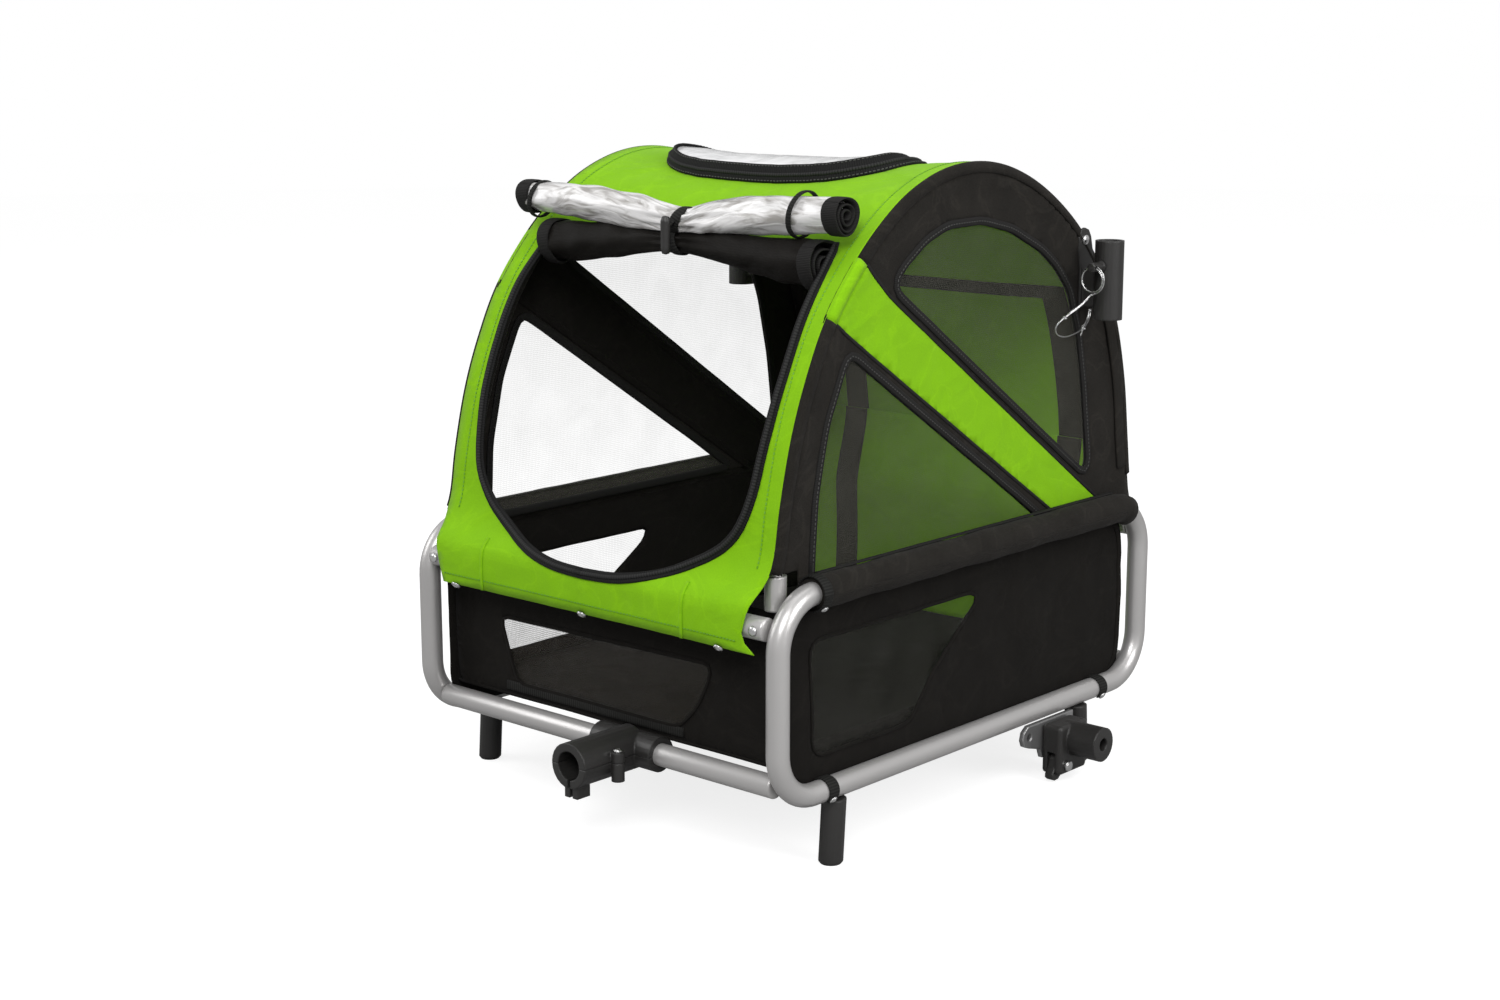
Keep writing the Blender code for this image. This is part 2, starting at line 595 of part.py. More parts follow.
def lever(name, side, through):
    """Thumb lever with its origin on the bolt's axis."""
    outline = [(0.0115, 0.004), (0.0095, 0.0085), (0.004, 0.0120), (-0.004, 0.0115), (-0.0085, 0.007),
               (-0.0105, -0.002), (-0.0150, -0.0085), (-0.0150, -0.0125), (-0.0110, -0.0155),
               (-0.004, -0.0150), (0.002, -0.0100), (0.0085, -0.005)]
    made = as_mesh(plate(f"release_lever_{name}", [outline], 0.0094, BLACK_PLASTIC, SIDE_PLANE,
                         (side * 0.2620, LEVER_Y, LEVER_Z)))
    join(made, through, "DIFFERENCE")


def handle_sockets():
    """Socket tube for a push handle on each hoop, with its lock pin and pull ring."""
    for side in (-1, 1):
        name = side_name(side)
        x = side * SOCKET_X
        body = rod(f"handle_socket_{name}", SOCKET_R, (x, SOCKET_Y, SOCKET_LOW_Z), (x, SOCKET_Y, SOCKET_TOP_Z),
                   BLACK_PLASTIC, 24)
        ear = [(0.1936, 0.490), (0.2196, 0.490), (0.2196, 0.530), (0.2111, 0.563), (0.2066, 0.570), (0.1996, 0.5725),
               (0.1926, 0.570), (0.1891, 0.563), (0.1896, 0.550), (0.1936, 0.530)]
        tab = prism(f"add_ear_{name}", ear, 0.003, SIDE_PLANE, (side * 0.2251, 0, 0))
        join(body, tab, "UNION")
        web_low = (min(side * 0.2252, side * 0.2452), 0.1976, 0.4905)
        web_high = (max(side * 0.2252, side * 0.2452), 0.2076, 0.5300)
        join(body, cutter(box(f"add_web_{name}", web_low, web_high, BLACK_PLASTIC)), "UNION")
        join(body, cutter(rod(f"cut_socket_{name}", SOCKET_BORE_R, (x, SOCKET_Y, 0.46), (x, SOCKET_Y, 0.58),
                              steps=24)), "DIFFERENCE")
        join(body, cutter(rod(f"cut_pin_{name}", PIN_R + GAP, (x, 0.16, PIN_Z), (x, 0.23, PIN_Z), steps=16)),
             "DIFFERENCE")
        pan_screw(f"socket_screw_{name}", (side * (0.2266 + GAP), 0.2001, 0.5600),
                  ALONG_X if side > 0 else Matrix.Rotation(-math.pi / 2, 4, "Y"), 0.0055)
        lock_pin(name, x)


def lock_pin(name, x):
    """Pull pin through the socket, with a split ring in its head; both have their origin on their axis."""
    profile = ((0.0, 0.0185), (0.0042, 0.0185), (0.0050, 0.0175), (0.0050, 0.0025), (0.0062, 0.0025),
               (0.0062, 0.0), (PIN_R, 0.0), (PIN_R, -0.0330), (0.0030, -0.0345), (0.0, -0.0345))
    front = SOCKET_Y - SOCKET_R - 0.0005
    pin = turned(f"lock_pin_{name}", profile, BLACK_PLASTIC,
                 Matrix.Translation((x, front, PIN_Z)) @ ALONG_BACK, 16)
    eye = cutter(rod(f"cut_eye_{name}", 0.0022, (x - 0.01, RING_Y, PIN_Z), (x + 0.01, RING_Y, PIN_Z), steps=12))
    join(pin, eye, "DIFFERENCE")
    points = []
    for k in range(26):
        turn = 2 * math.pi * k / 26
        points.append((RING_R * math.sin(turn), 0.0, RING_R * (math.cos(turn) - 1)))
    ring = tube(f"pull_ring_{name}", points, RING_WIRE_R, ZINC, closed=True, sides=1)
    ring.location = (x, RING_Y, PIN_Z)


def lanyard():
    """Thin cord from the pull ring, hanging in a bow to the foot of the right handle socket."""
    path = ((0.2552, 0.1716, 0.5083), (0.2517, 0.1576, 0.4970), (0.2452, 0.1386, 0.4860), (0.2412, 0.1296, 0.4780),
            (0.2392, 0.1336, 0.4690), (0.2382, 0.1496, 0.4645), (0.2372, 0.1676, 0.4655), (0.2362, 0.1846, 0.4690),
            (0.2352, 0.1971, 0.4765), (0.2352, 0.2021, 0.4895))
    tube("pin_lanyard", spline_points(path, 4), 0.0007, ZINC, sides=2)


def stand_over_origin():
    """Move everything back a little, so that the middle of the whole stands over the origin."""
    bpy.context.view_layer.update()
    for owner in (PARTS, CUTTERS):
        for item in owner.objects:
            item.matrix_world = Matrix.Translation((0.0, MIDDLE_SHIFT_Y, 0.0)) @ item.matrix_world


clear_scene()
PARTS = collection(COLLECTION)
CUTTERS = collection("cutters")
side_loops()
cross_tubes()
hoops()
legs()
canopy()
side_cloth()
sleeves()
tub()
rolls()
tow_socket()
hubs()
handle_sockets()
lanyard()
stand_over_origin()
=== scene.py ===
"""Bicycle trailer cabin: cloth, trims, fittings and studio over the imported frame."""

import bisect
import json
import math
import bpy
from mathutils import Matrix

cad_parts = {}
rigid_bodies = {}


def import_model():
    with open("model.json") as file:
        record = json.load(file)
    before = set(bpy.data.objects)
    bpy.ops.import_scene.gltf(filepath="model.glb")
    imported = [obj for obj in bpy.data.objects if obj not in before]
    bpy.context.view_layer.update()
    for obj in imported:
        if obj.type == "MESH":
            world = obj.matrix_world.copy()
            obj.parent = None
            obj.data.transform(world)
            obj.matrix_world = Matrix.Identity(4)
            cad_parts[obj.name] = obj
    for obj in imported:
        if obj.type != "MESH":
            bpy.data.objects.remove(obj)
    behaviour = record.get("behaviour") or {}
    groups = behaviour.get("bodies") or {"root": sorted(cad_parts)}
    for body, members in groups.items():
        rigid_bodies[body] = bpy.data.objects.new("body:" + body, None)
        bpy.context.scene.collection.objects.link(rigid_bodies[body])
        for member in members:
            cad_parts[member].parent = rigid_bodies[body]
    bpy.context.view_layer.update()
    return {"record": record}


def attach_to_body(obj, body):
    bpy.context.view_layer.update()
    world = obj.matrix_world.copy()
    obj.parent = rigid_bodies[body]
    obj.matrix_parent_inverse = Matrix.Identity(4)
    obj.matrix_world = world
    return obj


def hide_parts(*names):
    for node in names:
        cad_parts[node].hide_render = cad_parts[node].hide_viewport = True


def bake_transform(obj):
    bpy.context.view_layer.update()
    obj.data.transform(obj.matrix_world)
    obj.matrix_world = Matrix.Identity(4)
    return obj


bl_info = {
    "name": "Bicycle Trailer Cabin",
    "version": (1, 0, 0),
    "blender": (4, 5, 0),
    "location": "View3D > Sidebar > Trailer",
    "description": "Dresses the frame of a bicycle trailer cabin in cloth and sets up a studio",
    "category": "Object",
}

import bmesh
import bpy
from bpy.props import FloatProperty, FloatVectorProperty, PointerProperty
from mathutils import Matrix, Vector, kdtree, noise

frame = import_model()
ROOT = "cabin"
SIDES = (("left", -1), ("right", 1))
ENDS = (("front", -1), ("rear", 1))

# Places repeated from the solids, in metres. Y is counted from the frame's middle and moved by MIDDLE_Y.
MIDDLE_Y = 0.0291
SKIN_HALF = 0.2210
HEM_HALF = 0.2030
HEM_LOW_Z = 0.219
HEM_TOP_Z = 0.290
SIDE_X = 0.2234
PANEL_LOW_Z = 0.2680
LOOP_X = 0.240
LOOP_BEND_Y = 0.251
LOOP_BEND_R = 0.050
RAIL_LOW_Z = 0.075
RAIL_TOP_Z = 0.268
TUBE_R = 0.0111
CROSS_HALF = 0.2285
CROSS_TUBES = (("low", 0.290, 0.0886), ("top", 0.301, 0.241))
TUB_X = 0.2282
TUB_REACH = 0.2870
FLOOR_Z = 0.1040
RING_X, RING_Y, RING_Z = 0.2552, 0.1716, 0.5225

# Outline of the cabin seen from the side, in (y, z).
OUTLINE = (
    (-0.3150, 0.219), (-0.3158, 0.242), (-0.3130, 0.262), (-0.2965, 0.281), (-0.2854, 0.305),
    (-0.2774, 0.350), (-0.2624, 0.410), (-0.2424, 0.462), (-0.2144, 0.515), (-0.1724, 0.565),
    (-0.1324, 0.600), (-0.0904, 0.626), (-0.0424, 0.643), (0.0076, 0.649), (0.0576, 0.644),
    (0.1076, 0.628), (0.1576, 0.601), (0.2026, 0.566), (0.2426, 0.520), (0.2696, 0.470),
    (0.2886, 0.405), (0.2986, 0.340), (0.3036, 0.305), (0.3075, 0.281), (0.3130, 0.262),
    (0.3158, 0.242), (0.3150, 0.219),
)
# Right half of the door opening, in (x, z).
DOOR_HALF = (
    (0.000, 0.2600), (0.043, 0.2622), (0.083, 0.2700), (0.127, 0.2865), (0.163, 0.309),
    (0.183, 0.342), (0.191, 0.400), (0.194, 0.470), (0.192, 0.530), (0.186, 0.578),
)
# Windows, slanting band and pocket of a side, in (y, z).
LOW_WINDOW = (
    (-0.2354, 0.2710), (0.1450, 0.2710), (0.0920, 0.3070), (-0.1704, 0.4760),
    (-0.1794, 0.4790), (-0.1884, 0.4740), (-0.2144, 0.4180), (-0.2304, 0.3500),
)
TOP_WINDOW = (
    (0.2106, 0.3130), (0.2196, 0.3120), (0.2246, 0.3220), (0.2136, 0.4000), (0.1986, 0.4660),
    (0.1806, 0.5100), (0.1556, 0.5370), (0.1256, 0.5570), (0.0736, 0.5800), (0.0226, 0.5910),
    (-0.0334, 0.5900), (-0.0674, 0.5780), (-0.1014, 0.5560), (-0.1134, 0.5440), (-0.1124, 0.5320),
)
BAND_LOW = ((-0.2139, 0.516), (0.1742, 0.2680))
BAND_TOP = ((-0.1680, 0.5685), (-0.1224, 0.529), (0.2606, 0.2680))
POCKET = (
    (-0.2410, 0.1060), (-0.0920, 0.1060), (-0.0800, 0.1280), (-0.0500, 0.1620),
    (-0.0080, 0.1920), (0.0120, 0.2060), (0.0140, 0.2190), (-0.2460, 0.2190),
)
SIDE_WALL = ((-TUB_REACH, 0.072), (TUB_REACH, 0.072), (TUB_REACH, 0.2620), (-TUB_REACH, 0.2620))
FLOOR_EDGE = ((-0.2720, 0.1050), (0.2720, 0.1050), (0.2720, 0.1195), (-0.2720, 0.1195))
FLAP_HEIGHTS = (0.300, 0.330, 0.370, 0.410, 0.450, 0.480)
# Front and rear walls of the tub and the mesh in the front one, in (x, z), and the base, in (x, y).
WALL_Y = 0.2768
FRONT_WALL = ((-0.2256, 0.1005), (0.2256, 0.1005), (0.2256, 0.2510), (-0.2256, 0.2510))
REAR_WALL = (
    (-0.2256, 0.1005), (0.2256, 0.1005), (0.2256, 0.2460), (0.1980, 0.2520),
    (0.1980, 0.3300), (-0.1980, 0.3300), (-0.1980, 0.2520), (-0.2256, 0.2460),
)
FRONT_MESH = (
    (-0.134, 0.116), (0.094, 0.116), (0.119, 0.141),
    (0.133, 0.166), (0.140, 0.187), (-0.156, 0.184),
)
TUB_BASE = ((-0.2262, -0.2775), (0.2262, -0.2775), (0.2262, 0.2775), (-0.2262, 0.2775))
# Middle lines of the lanyard and the rolls, with the rolls' radii.
LANYARD = (
    (0.2552, 0.1716, 0.5083), (0.2517, 0.1576, 0.4970), (0.2452, 0.1386, 0.4860), (0.2412, 0.1296, 0.4780),
    (0.2392, 0.1336, 0.4690), (0.2382, 0.1496, 0.4645), (0.2372, 0.1676, 0.4655), (0.2362, 0.1846, 0.4690),
    (0.2352, 0.1971, 0.4765), (0.2352, 0.2021, 0.4895),
)
CLEAR_LINE = (
    (-0.2200, -0.172, 0.6050), (-0.1700, -0.173, 0.6045), (-0.1150, -0.173, 0.6020),
    (-0.0500, -0.174, 0.5960), (0.0060, -0.175, 0.5910), (0.0500, -0.174, 0.5960),
    (0.1100, -0.173, 0.6020), (0.1620, -0.172, 0.6050), (0.2110, -0.171, 0.6060),
)
CLEAR_SIZE = (0.0150, 0.0160, 0.0180, 0.0165, 0.0112, 0.0165, 0.0185, 0.0175, 0.0160)
MESH_LINE = (
    (-0.1850, -0.170, 0.5610), (-0.1400, -0.171, 0.5630), (-0.0900, -0.172, 0.5660),
    (-0.0400, -0.174, 0.5690), (0.0000, -0.175, 0.5700), (0.0400, -0.174, 0.5690),
    (0.0900, -0.172, 0.5650), (0.1400, -0.171, 0.5610), (0.1850, -0.170, 0.5590),
)
MESH_SIZE = (0.0205, 0.0200, 0.0175, 0.0130, 0.0100, 0.0130, 0.0175, 0.0210, 0.0220)
CLEAR_END_WIDTH, MESH_END_WIDTH = 0.0180, 0.0165
END_TURNS = 3.6
# Bands round the rolls: name, middle, radius, width and slant.
TIES = (
    ("roll_loop_left", (-0.197, -0.172, 0.602), 0.0182, 0.0055, 0.004),
    ("roll_loop_right", (0.158, -0.172, 0.605), 0.0215, 0.0055, 0.004),
    ("roll_tie_clear", CLEAR_LINE[4], 0.0128, 0.0120, 0.006),
    ("roll_tie_mesh", MESH_LINE[4], 0.0118, 0.0120, -0.004),
)
TOGGLE_STRAP = ((0.004, -0.1840, 0.5935), (0.004, -0.1910, 0.5900), (0.003, -0.1960, 0.5860))

# Places of the trims.
TRIM_GAP = 0.0002
SUN_MIDDLE_Y = -0.001
SUN_HALF_X, SUN_HALF_Y = 0.152, 0.070
SUN_RIM = 0.0190
SUN_RIM_FOOT = -0.003
FRONT_SEAMS = (("left", -0.145), ("right", 0.132))
FRONT_SEAM_TOP_Z = 0.272
HEM_STITCH_UP = 0.0100
WRAP_LOW_Z = 0.292
HOOP_SEAM_IN = 0.0165
TUNNEL_X, TUNNEL_DEEP, TUNNEL_R = 0.2110, 0.0124, 0.0100
STRAP_Z, STRAP_HALF = 0.487, 0.1680
STRIP_X = 0.1520
SLEEVE_R = 0.0160
RAIL_LOOPS = (("front", -0.2330), ("rear", 0.2230))
SLEEVE_BAND_Y = -0.2490
HEM_STUDS_X = (-0.184, -0.002, 0.179)

# Width and height of each sewn trim.
STITCH = (0.0011, 0.0005)
HEM_STITCH = (0.0012, 0.0007)
HOOP_STITCH = (0.0014, 0.0006)
FRONT_SEAM = (0.0040, 0.0009)
BAND_SEAM = (0.0034, 0.0009)
BAND_SEAM_INSIDE = (0.0090, 0.0020)
POCKET_SEAM = (0.0036, 0.0012)
SLEEVE_SEAM = (0.0060, 0.0010)
TUB_BINDING = (0.0080, 0.0014)
HEM_STRIP = (0.0100, 0.0014)
REAR_FLAP = (0.0180, 0.0012)
REAR_STRAP = (0.0170, 0.0012)
REAR_STRIP = (0.0320, 0.0010)
RAIL_LOOP = (0.0140, 0.0012)
SLEEVE_BAND = (0.0120, 0.0014)
TOGGLE_SIZE = (0.0090, 0.0014)

# Radii of the zips' teeth and the cord, and radius and height of the studs.
DOOR_COIL_R, SUN_COIL_R = 0.0022, 0.0020
CORD_R = 0.0007
EYE_R = 0.0145
RIVET = (0.0042, 0.0022)
HEM_STUD = (0.0052, 0.0030)
# Thickness of the film, the nets, the linings and the dark sheet behind the slanting band.
FILM, WINDOW_NET, POCKET_NET = 0.0006, 0.0005, 0.0006
BAND_DARK_SHEET, FLOOR_LINING, BASE_CLOTH = 0.0008, 0.0010, 0.003

# Sections: a ribbon in shares of its width and height, a stud in shares of its radius and height, and the
# side cloth turned over the hoop, as distances beyond the side and above the outline.
RIBBON = (
    (-0.5, -0.3), (-0.5, 0.45), (-0.42, 0.85), (-0.2, 1.0),
    (0.2, 1.0), (0.42, 0.85), (0.5, 0.45), (0.5, -0.3),
)
BUTTON = (
    (0.0, 1.0), (0.35, 0.96), (0.55, 0.80), (0.62, 0.55),
    (0.72, 0.62), (0.90, 0.60), (1.0, 0.35), (1.0, 0.0),
)
HOOP_WRAP = (
    (-0.0010, 0.0001), (0.0008, -0.0006), (0.0020, -0.0022), (0.0029, -0.0055),
    (0.0036, -0.0105), (0.0014, -0.0110), (-0.0010, -0.0030),
)

# A wave texture of this scale has one band in a metre.
WAVE_SCALE = 0.314
NET_PITCH = 0.0021
STITCH_PITCH = 0.0042
LAMPS = (
    ("key", (1.5, -2.3, 2.4), 1.6, 62.0),
    ("fill", (-2.4, -1.6, 1.8), 2.0, 30.0),
    ("side", (2.9, 0.2, 1.7), 1.8, 50.0),
    ("top", (0.0, 0.2, 3.0), 2.2, 13.0),
)
WHITE = (1.0, 1.0, 1.0, 1.0)
CAMERA_TURN, CAMERA_LIFT, CAMERA_FAR = 41.6686, 11.608, 2.3835
CAMERA_AIM = (0.0, -0.0694, 0.3)
CAMERA_SENSOR, CAMERA_LENS, CAMERA_SHIFT = 36.0, 54.978, -0.00365
LAMP_AIM = (0.0, 0.0, 0.3)
FLOOR_RADIUS = 9.0

# Material of the record that each look stands for.
SLOTS = {
    **dict.fromkeys(("lime_cloth", "lime_thread"), "green_cloth"),
    **dict.fromkeys(("black_cloth", "tub_cloth", "binding", "webbing"), "black_cloth"),
    **dict.fromkeys(("zip_tape", "zip_teeth", "grey_thread"), "black_cloth"),
    **dict.fromkeys(("window_mesh", "pocket_mesh", "front_mesh", "rolled_net"), "mesh_cloth"),
    **dict.fromkeys(("clear_film", "rolled_film"), "clear_film"),
    "tube_paint": "grey_tube",
    "moulded_plastic": "black_plastic",
    "zinc_plate": "zinc_steel",
    "bracket_steel": "bracket_steel",
}
RIGID_LOOKS = ("tube_paint", "moulded_plastic", "zinc_plate", "bracket_steel")
LOOKS = {}


def colour(name, description, default):
    return FloatVectorProperty(name=name, description=description, default=default, subtype="COLOR",
                               size=3, min=0.0, max=1.0)


def length(name, description, default):
    return FloatProperty(name=name, description=description, default=default, unit="LENGTH", min=0.0001)


class TrailerSettings(bpy.types.PropertyGroup):
    """Colours and sizes of the cabin's cloth and trims."""

    lime: colour("Lime cloth", "Colour of the front, roof and rear cloth", (0.205, 0.465, 0.003))
    lime_shade: colour("Lime shade", "Second colour in the lime weave", (0.165, 0.395, 0.002))
    black: colour("Black cloth", "Colour of the side cloth", (0.0175, 0.0155, 0.0130))
    black_shade: colour("Black shade", "Second colour in the black weave", (0.0048, 0.0042, 0.0036))
    tub: colour("Tub cloth", "Colour of the tub's cloth", (0.0085, 0.0074, 0.0062))
    binding: colour("Binding", "Colour of the edge binding", (0.0120, 0.0114, 0.0110))
    mesh: colour("Mesh", "Colour of the mesh threads", (0.1600, 0.1580, 0.1300))
    paint: colour("Tube paint", "Colour of the frame tubes", (0.480, 0.470, 0.465))
    plastic: colour("Plastic", "Colour of the moulded fittings", (0.0130, 0.0124, 0.0118))
    cloth: length("Cloth", "Thickness of the body cloth", 0.0014)
    binding_width: length("Binding width", "Width of the binding round the windows", 0.0085)
    zip_width: length("Zip width", "Width of the zip tape round the door", 0.0110)
    weave: length("Weave", "Distance between the threads of the cloth", 0.0009)


def at(x, y, z):
    return Vector((x, y + MIDDLE_Y, z))


def clamp(value):
    return min(max(value, 0.0), 1.0)


def ease(value):
    """Smooth step from 0 to 1."""
    t = clamp(value)
    return t * t * (3 - 2 * t)


def span(start, end, count):
    """Values from start to end in even steps."""
    return [start + (end - start) * k / count for k in range(count + 1)]


def around(count):
    """Angles of one full turn."""
    return [2 * math.pi * k / count for k in range(count)]


def ripple(u, v, size, seed):
    """Smooth uneven value between about -1 and 1."""
    return noise.noise(Vector((u / size, v / size, seed)))


def smooth_line(points, steps):
    """Points of a smooth curve through the given ones."""
    vectors = [Vector(p) for p in points]
    last = len(vectors) - 1
    found = []
    for k in range(last):
        before, start = vectors[max(k - 1, 0)], vectors[k]
        end, after = vectors[k + 1], vectors[min(k + 2, last)]
        for step in range(steps):
            t = step / steps
            b = (2 * before - 5 * start + 4 * end - after) * t * t
            c = (3 * start - before - 3 * end + after) * t ** 3
            found.append((2 * start + (end - before) * t + b + c) / 2)
    return found + [vectors[-1]]


def even_line(points, step, closed=False):
    """Same line with points at an even distance."""
    line = [Vector(p) for p in points]
    if closed:
        line.append(line[0].copy())
    total = [0.0]
    for a, b in zip(line, line[1:]):
        total.append(total[-1] + (b - a).length)
    count = max(2, round(total[-1] / step))
    found = []
    for k in range(count if closed else count + 1):
        want = total[-1] * k / count
        place = min(max(bisect.bisect_right(total, want) - 1, 0), len(line) - 2)
        share = (want - total[place]) / max(total[place + 1] - total[place], 1e-9)
        found.append(line[place].lerp(line[place + 1], share))
    return found


def rounded_loop(points, radius, step, steps=4):
    """Closed flat outline with rounded corners and points at an even distance."""
    found = []
    count = len(points)
    for k in range(count):
        before, spot, after = (Vector(points[(k + d) % count]) for d in (-1, 0, 1))
        back = min(radius, (before - spot).length * 0.45)
        ahead = min(radius, (after - spot).length * 0.45)
        start = spot + (before - spot).normalized() * back
        end = spot + (after - spot).normalized() * ahead
        for t in span(0.0, 1.0, steps):
            found.append(start.lerp(spot, t).lerp(spot.lerp(end, t), t))
    return even_line(found, step, closed=True)


class Profile:
    """Cabin outline as a function of the length along it."""

    def __init__(self):
        self.points = smooth_line(OUTLINE, 12)
        self.along = [0.0]
        for a, b in zip(self.points, self.points[1:]):
            self.along.append(self.along[-1] + (b - a).length)
        self.total = self.along[-1]
        line = even_line(self.points, 0.0008)
        self.near = kdtree.KDTree(len(line))
        for k, spot in enumerate(line):
            self.near.insert((spot.x, spot.y, 0.0), k)
        self.near.balance()

    def spot(self, s):
        k = min(max(bisect.bisect_right(self.along, s) - 1, 0), len(self.points) - 2)
        share = (s - self.along[k]) / (self.along[k + 1] - self.along[k])
        return self.points[k].lerp(self.points[k + 1], clamp(share))

    def normal(self, s):
        along = self.spot(min(s + 0.004, self.total)) - self.spot(max(s - 0.004, 0.0))
        along.normalize()
        return Vector((-along.y, along.x))

    def front_at(self, z):
        """Length along the outline where the front passes this height."""
        for k, spot in enumerate(self.points):
            if spot.y >= z:
                a, b = self.points[k - 1], spot
                share = (z - a.y) / (b.y - a.y) if k else 0.0
                return self.along[k - 1] + share * (b - a).length if k else 0.0
        raise ValueError(f"the outline has no height {z}")

    def roof_at(self, y):
        """Length along the outline where the roof passes this place."""
        for k, spot in enumerate(self.points):
            if spot.y > 0.45 and spot.x >= y:
                a, b = self.points[k - 1], spot
                return self.along[k - 1] + (y - a.x) / (b.x - a.x) * (b - a).length
        raise ValueError(f"the outline has no place {y}")

    def rear_at(self, z):
        """Length along the outline where the rear passes this height."""
        return self.total - self.front_at(z)

    def distance(self, y, z):
        """Distance of a place in the side plane from the outline."""
        return self.near.find((y, z, 0.0))[2]


PROFILE = Profile()


def skin_half(s):
    """Half width of the body cloth, which narrows towards its hems."""
    z = PROFILE.spot(s).y
    if z >= HEM_TOP_Z:
        return SKIN_HALF
    return HEM_HALF + (SKIN_HALF - HEM_HALF) * (z - HEM_LOW_Z) / (HEM_TOP_Z - HEM_LOW_Z)


def hem_flare(s):
    """Corner of the front hem that swings out over the end of the cross tube."""
    return 0.020 * max(0.0, 1 - s / 0.020) ** 2


def on_skin(x, s, lift=0.0):
    """Place on the body cloth: straight across at the hoops, hollow between them."""
    spot = PROFILE.spot(s)
    normal = PROFILE.normal(s)
    inward = 1 - min(abs(x) / SKIN_HALF, 1.0) ** 2
    height = clamp((spot.y - 0.30) / 0.30)
    sag = -(0.002 + 0.009 * height * height) * inward
    crease = 0.0011 * ripple(x, s, 0.055, 3.1) + 0.0006 * ripple(x * 2.2, s, 0.030, 7.7)
    offset = sag + crease * min(1.0, inward * 3) + lift
    return at(x, spot.x + normal.x * offset, spot.y + normal.y * offset)


def skin_normal(s):
    normal = PROFILE.normal(s)
    return Vector((0.0, normal.x, normal.y))


def on_side(side, y, z, lift=0.0):
    """Place on a side cloth: it stands out over the hoop, and is a little uneven."""
    edge = PROFILE.distance(y, z)
    ridge = 0.0028 * math.exp(-((edge - 0.012) / 0.010) ** 2) - 0.0030 * math.exp(-(edge / 0.008) ** 2)
    hollow = -0.0016 * clamp((edge - 0.03) / 0.05)
    relief = ridge + hollow + 0.0007 * ripple(y, z, 0.045, 1.3)
    return at(side * (SIDE_X + relief + lift), y, z)


def on_tub(side, y, z, lift=0.0):
    """Place on a side of the tub, pressed outwards a little between the tubes."""
    up = math.sin(math.pi * clamp((z - 0.070) / 0.180))
    across = max(0.0, 1 - (y / TUB_REACH) ** 6)
    swell = 0.0045 * up * across + 0.0016 * ripple(y, z, 0.05, 4.4) + 0.0008 * ripple(y, z * 2.5, 0.030, 8.1)
    return at(side * (TUB_X + swell + lift), y, z)


def on_wall(sign, x, z, lift=0.0):
    """Place on the front or rear wall of the tub; the rear one leans up to the rear cloth."""
    swell = 0.0025 * math.sin(math.pi * min((z - 0.105) / 0.147, 1.0)) + 0.0008 * ripple(x, z, 0.05, 2.2)
    lean = 0.0185 * ease((z - 0.235) / 0.095) if sign > 0 else 0.0
    return at(x, sign * (WALL_Y + swell + lean + lift), z)


def net_folds(y, z):
    """Loose folds in the net of the tub, running down and back."""
    along = (y + 0.262) * 0.86 - (z - 0.10) * 0.50
    height = math.sin(math.pi * clamp((z - 0.098) / 0.138))
    return 0.0026 * math.sin(along * 120 + 30 * z) * height - 0.0004


def flat_cut(loops, step):
    """Flat cut of cloth with its holes, crossed by a grid fine enough to bend."""
    shape = bmesh.new()
    edges = []
    for loop in loops:
        verts = [shape.verts.new((p[0], p[1], 0.0)) for p in loop]
        edges += [shape.edges.new(pair) for pair in zip(verts, verts[1:] + verts[:1])]
    bmesh.ops.triangle_fill(shape, edges=edges, use_beauty=True, use_dissolve=False)
    for axis, way in ((0, Vector((1.0, 0.0, 0.0))), (1, Vector((0.0, 1.0, 0.0)))):
        low = min(v.co[axis] for v in shape.verts)
        high = max(v.co[axis] for v in shape.verts)
        for k in range(1, int((high - low) / step) + 1):
            everything = shape.verts[:] + shape.edges[:] + shape.faces[:]
            bmesh.ops.bisect_plane(shape, geom=everything, dist=0.00002, plane_co=way * (low + k * step),
                                   plane_no=way)
    for face in shape.faces:
        face.normal_update()
        if face.normal.z < 0:
            face.normal_flip()
    return shape


def finish_mesh(shape, name, look):
    data = bpy.data.meshes.new(name)
    shape.to_mesh(data)
    shape.free()
    made = bpy.data.objects.new(name, data)
    bpy.context.scene.collection.objects.link(made)
    data.materials.append(LOOKS[look])
    for face in data.polygons:
        face.use_smooth = True
    return made


def attach(made, body=ROOT):
    if body:
        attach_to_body(made, body)


def panel(name, loops, place, look, thickness, step=0.010, flip=False):
    """Cloth panel cut flat and laid over a surface, with its cut kept for the weave."""
    shape = flat_cut(loops, step)
    area = sum(face.calc_area() for face in shape.faces)
    cut = shape.verts.layers.float_vector.new("cut")
    for vert in shape.verts:
        vert[cut] = vert.co.copy()
        vert.co = place(vert.co.x, vert.co.y)
    if flip:
        bmesh.ops.reverse_faces(shape, faces=shape.faces)
    made = finish_mesh(shape, name, look)
    thick = made.modifiers.new("cloth", "SOLIDIFY")
    thick.thickness = thickness
    thick.offset = -1.0
    attach(made)
    return made


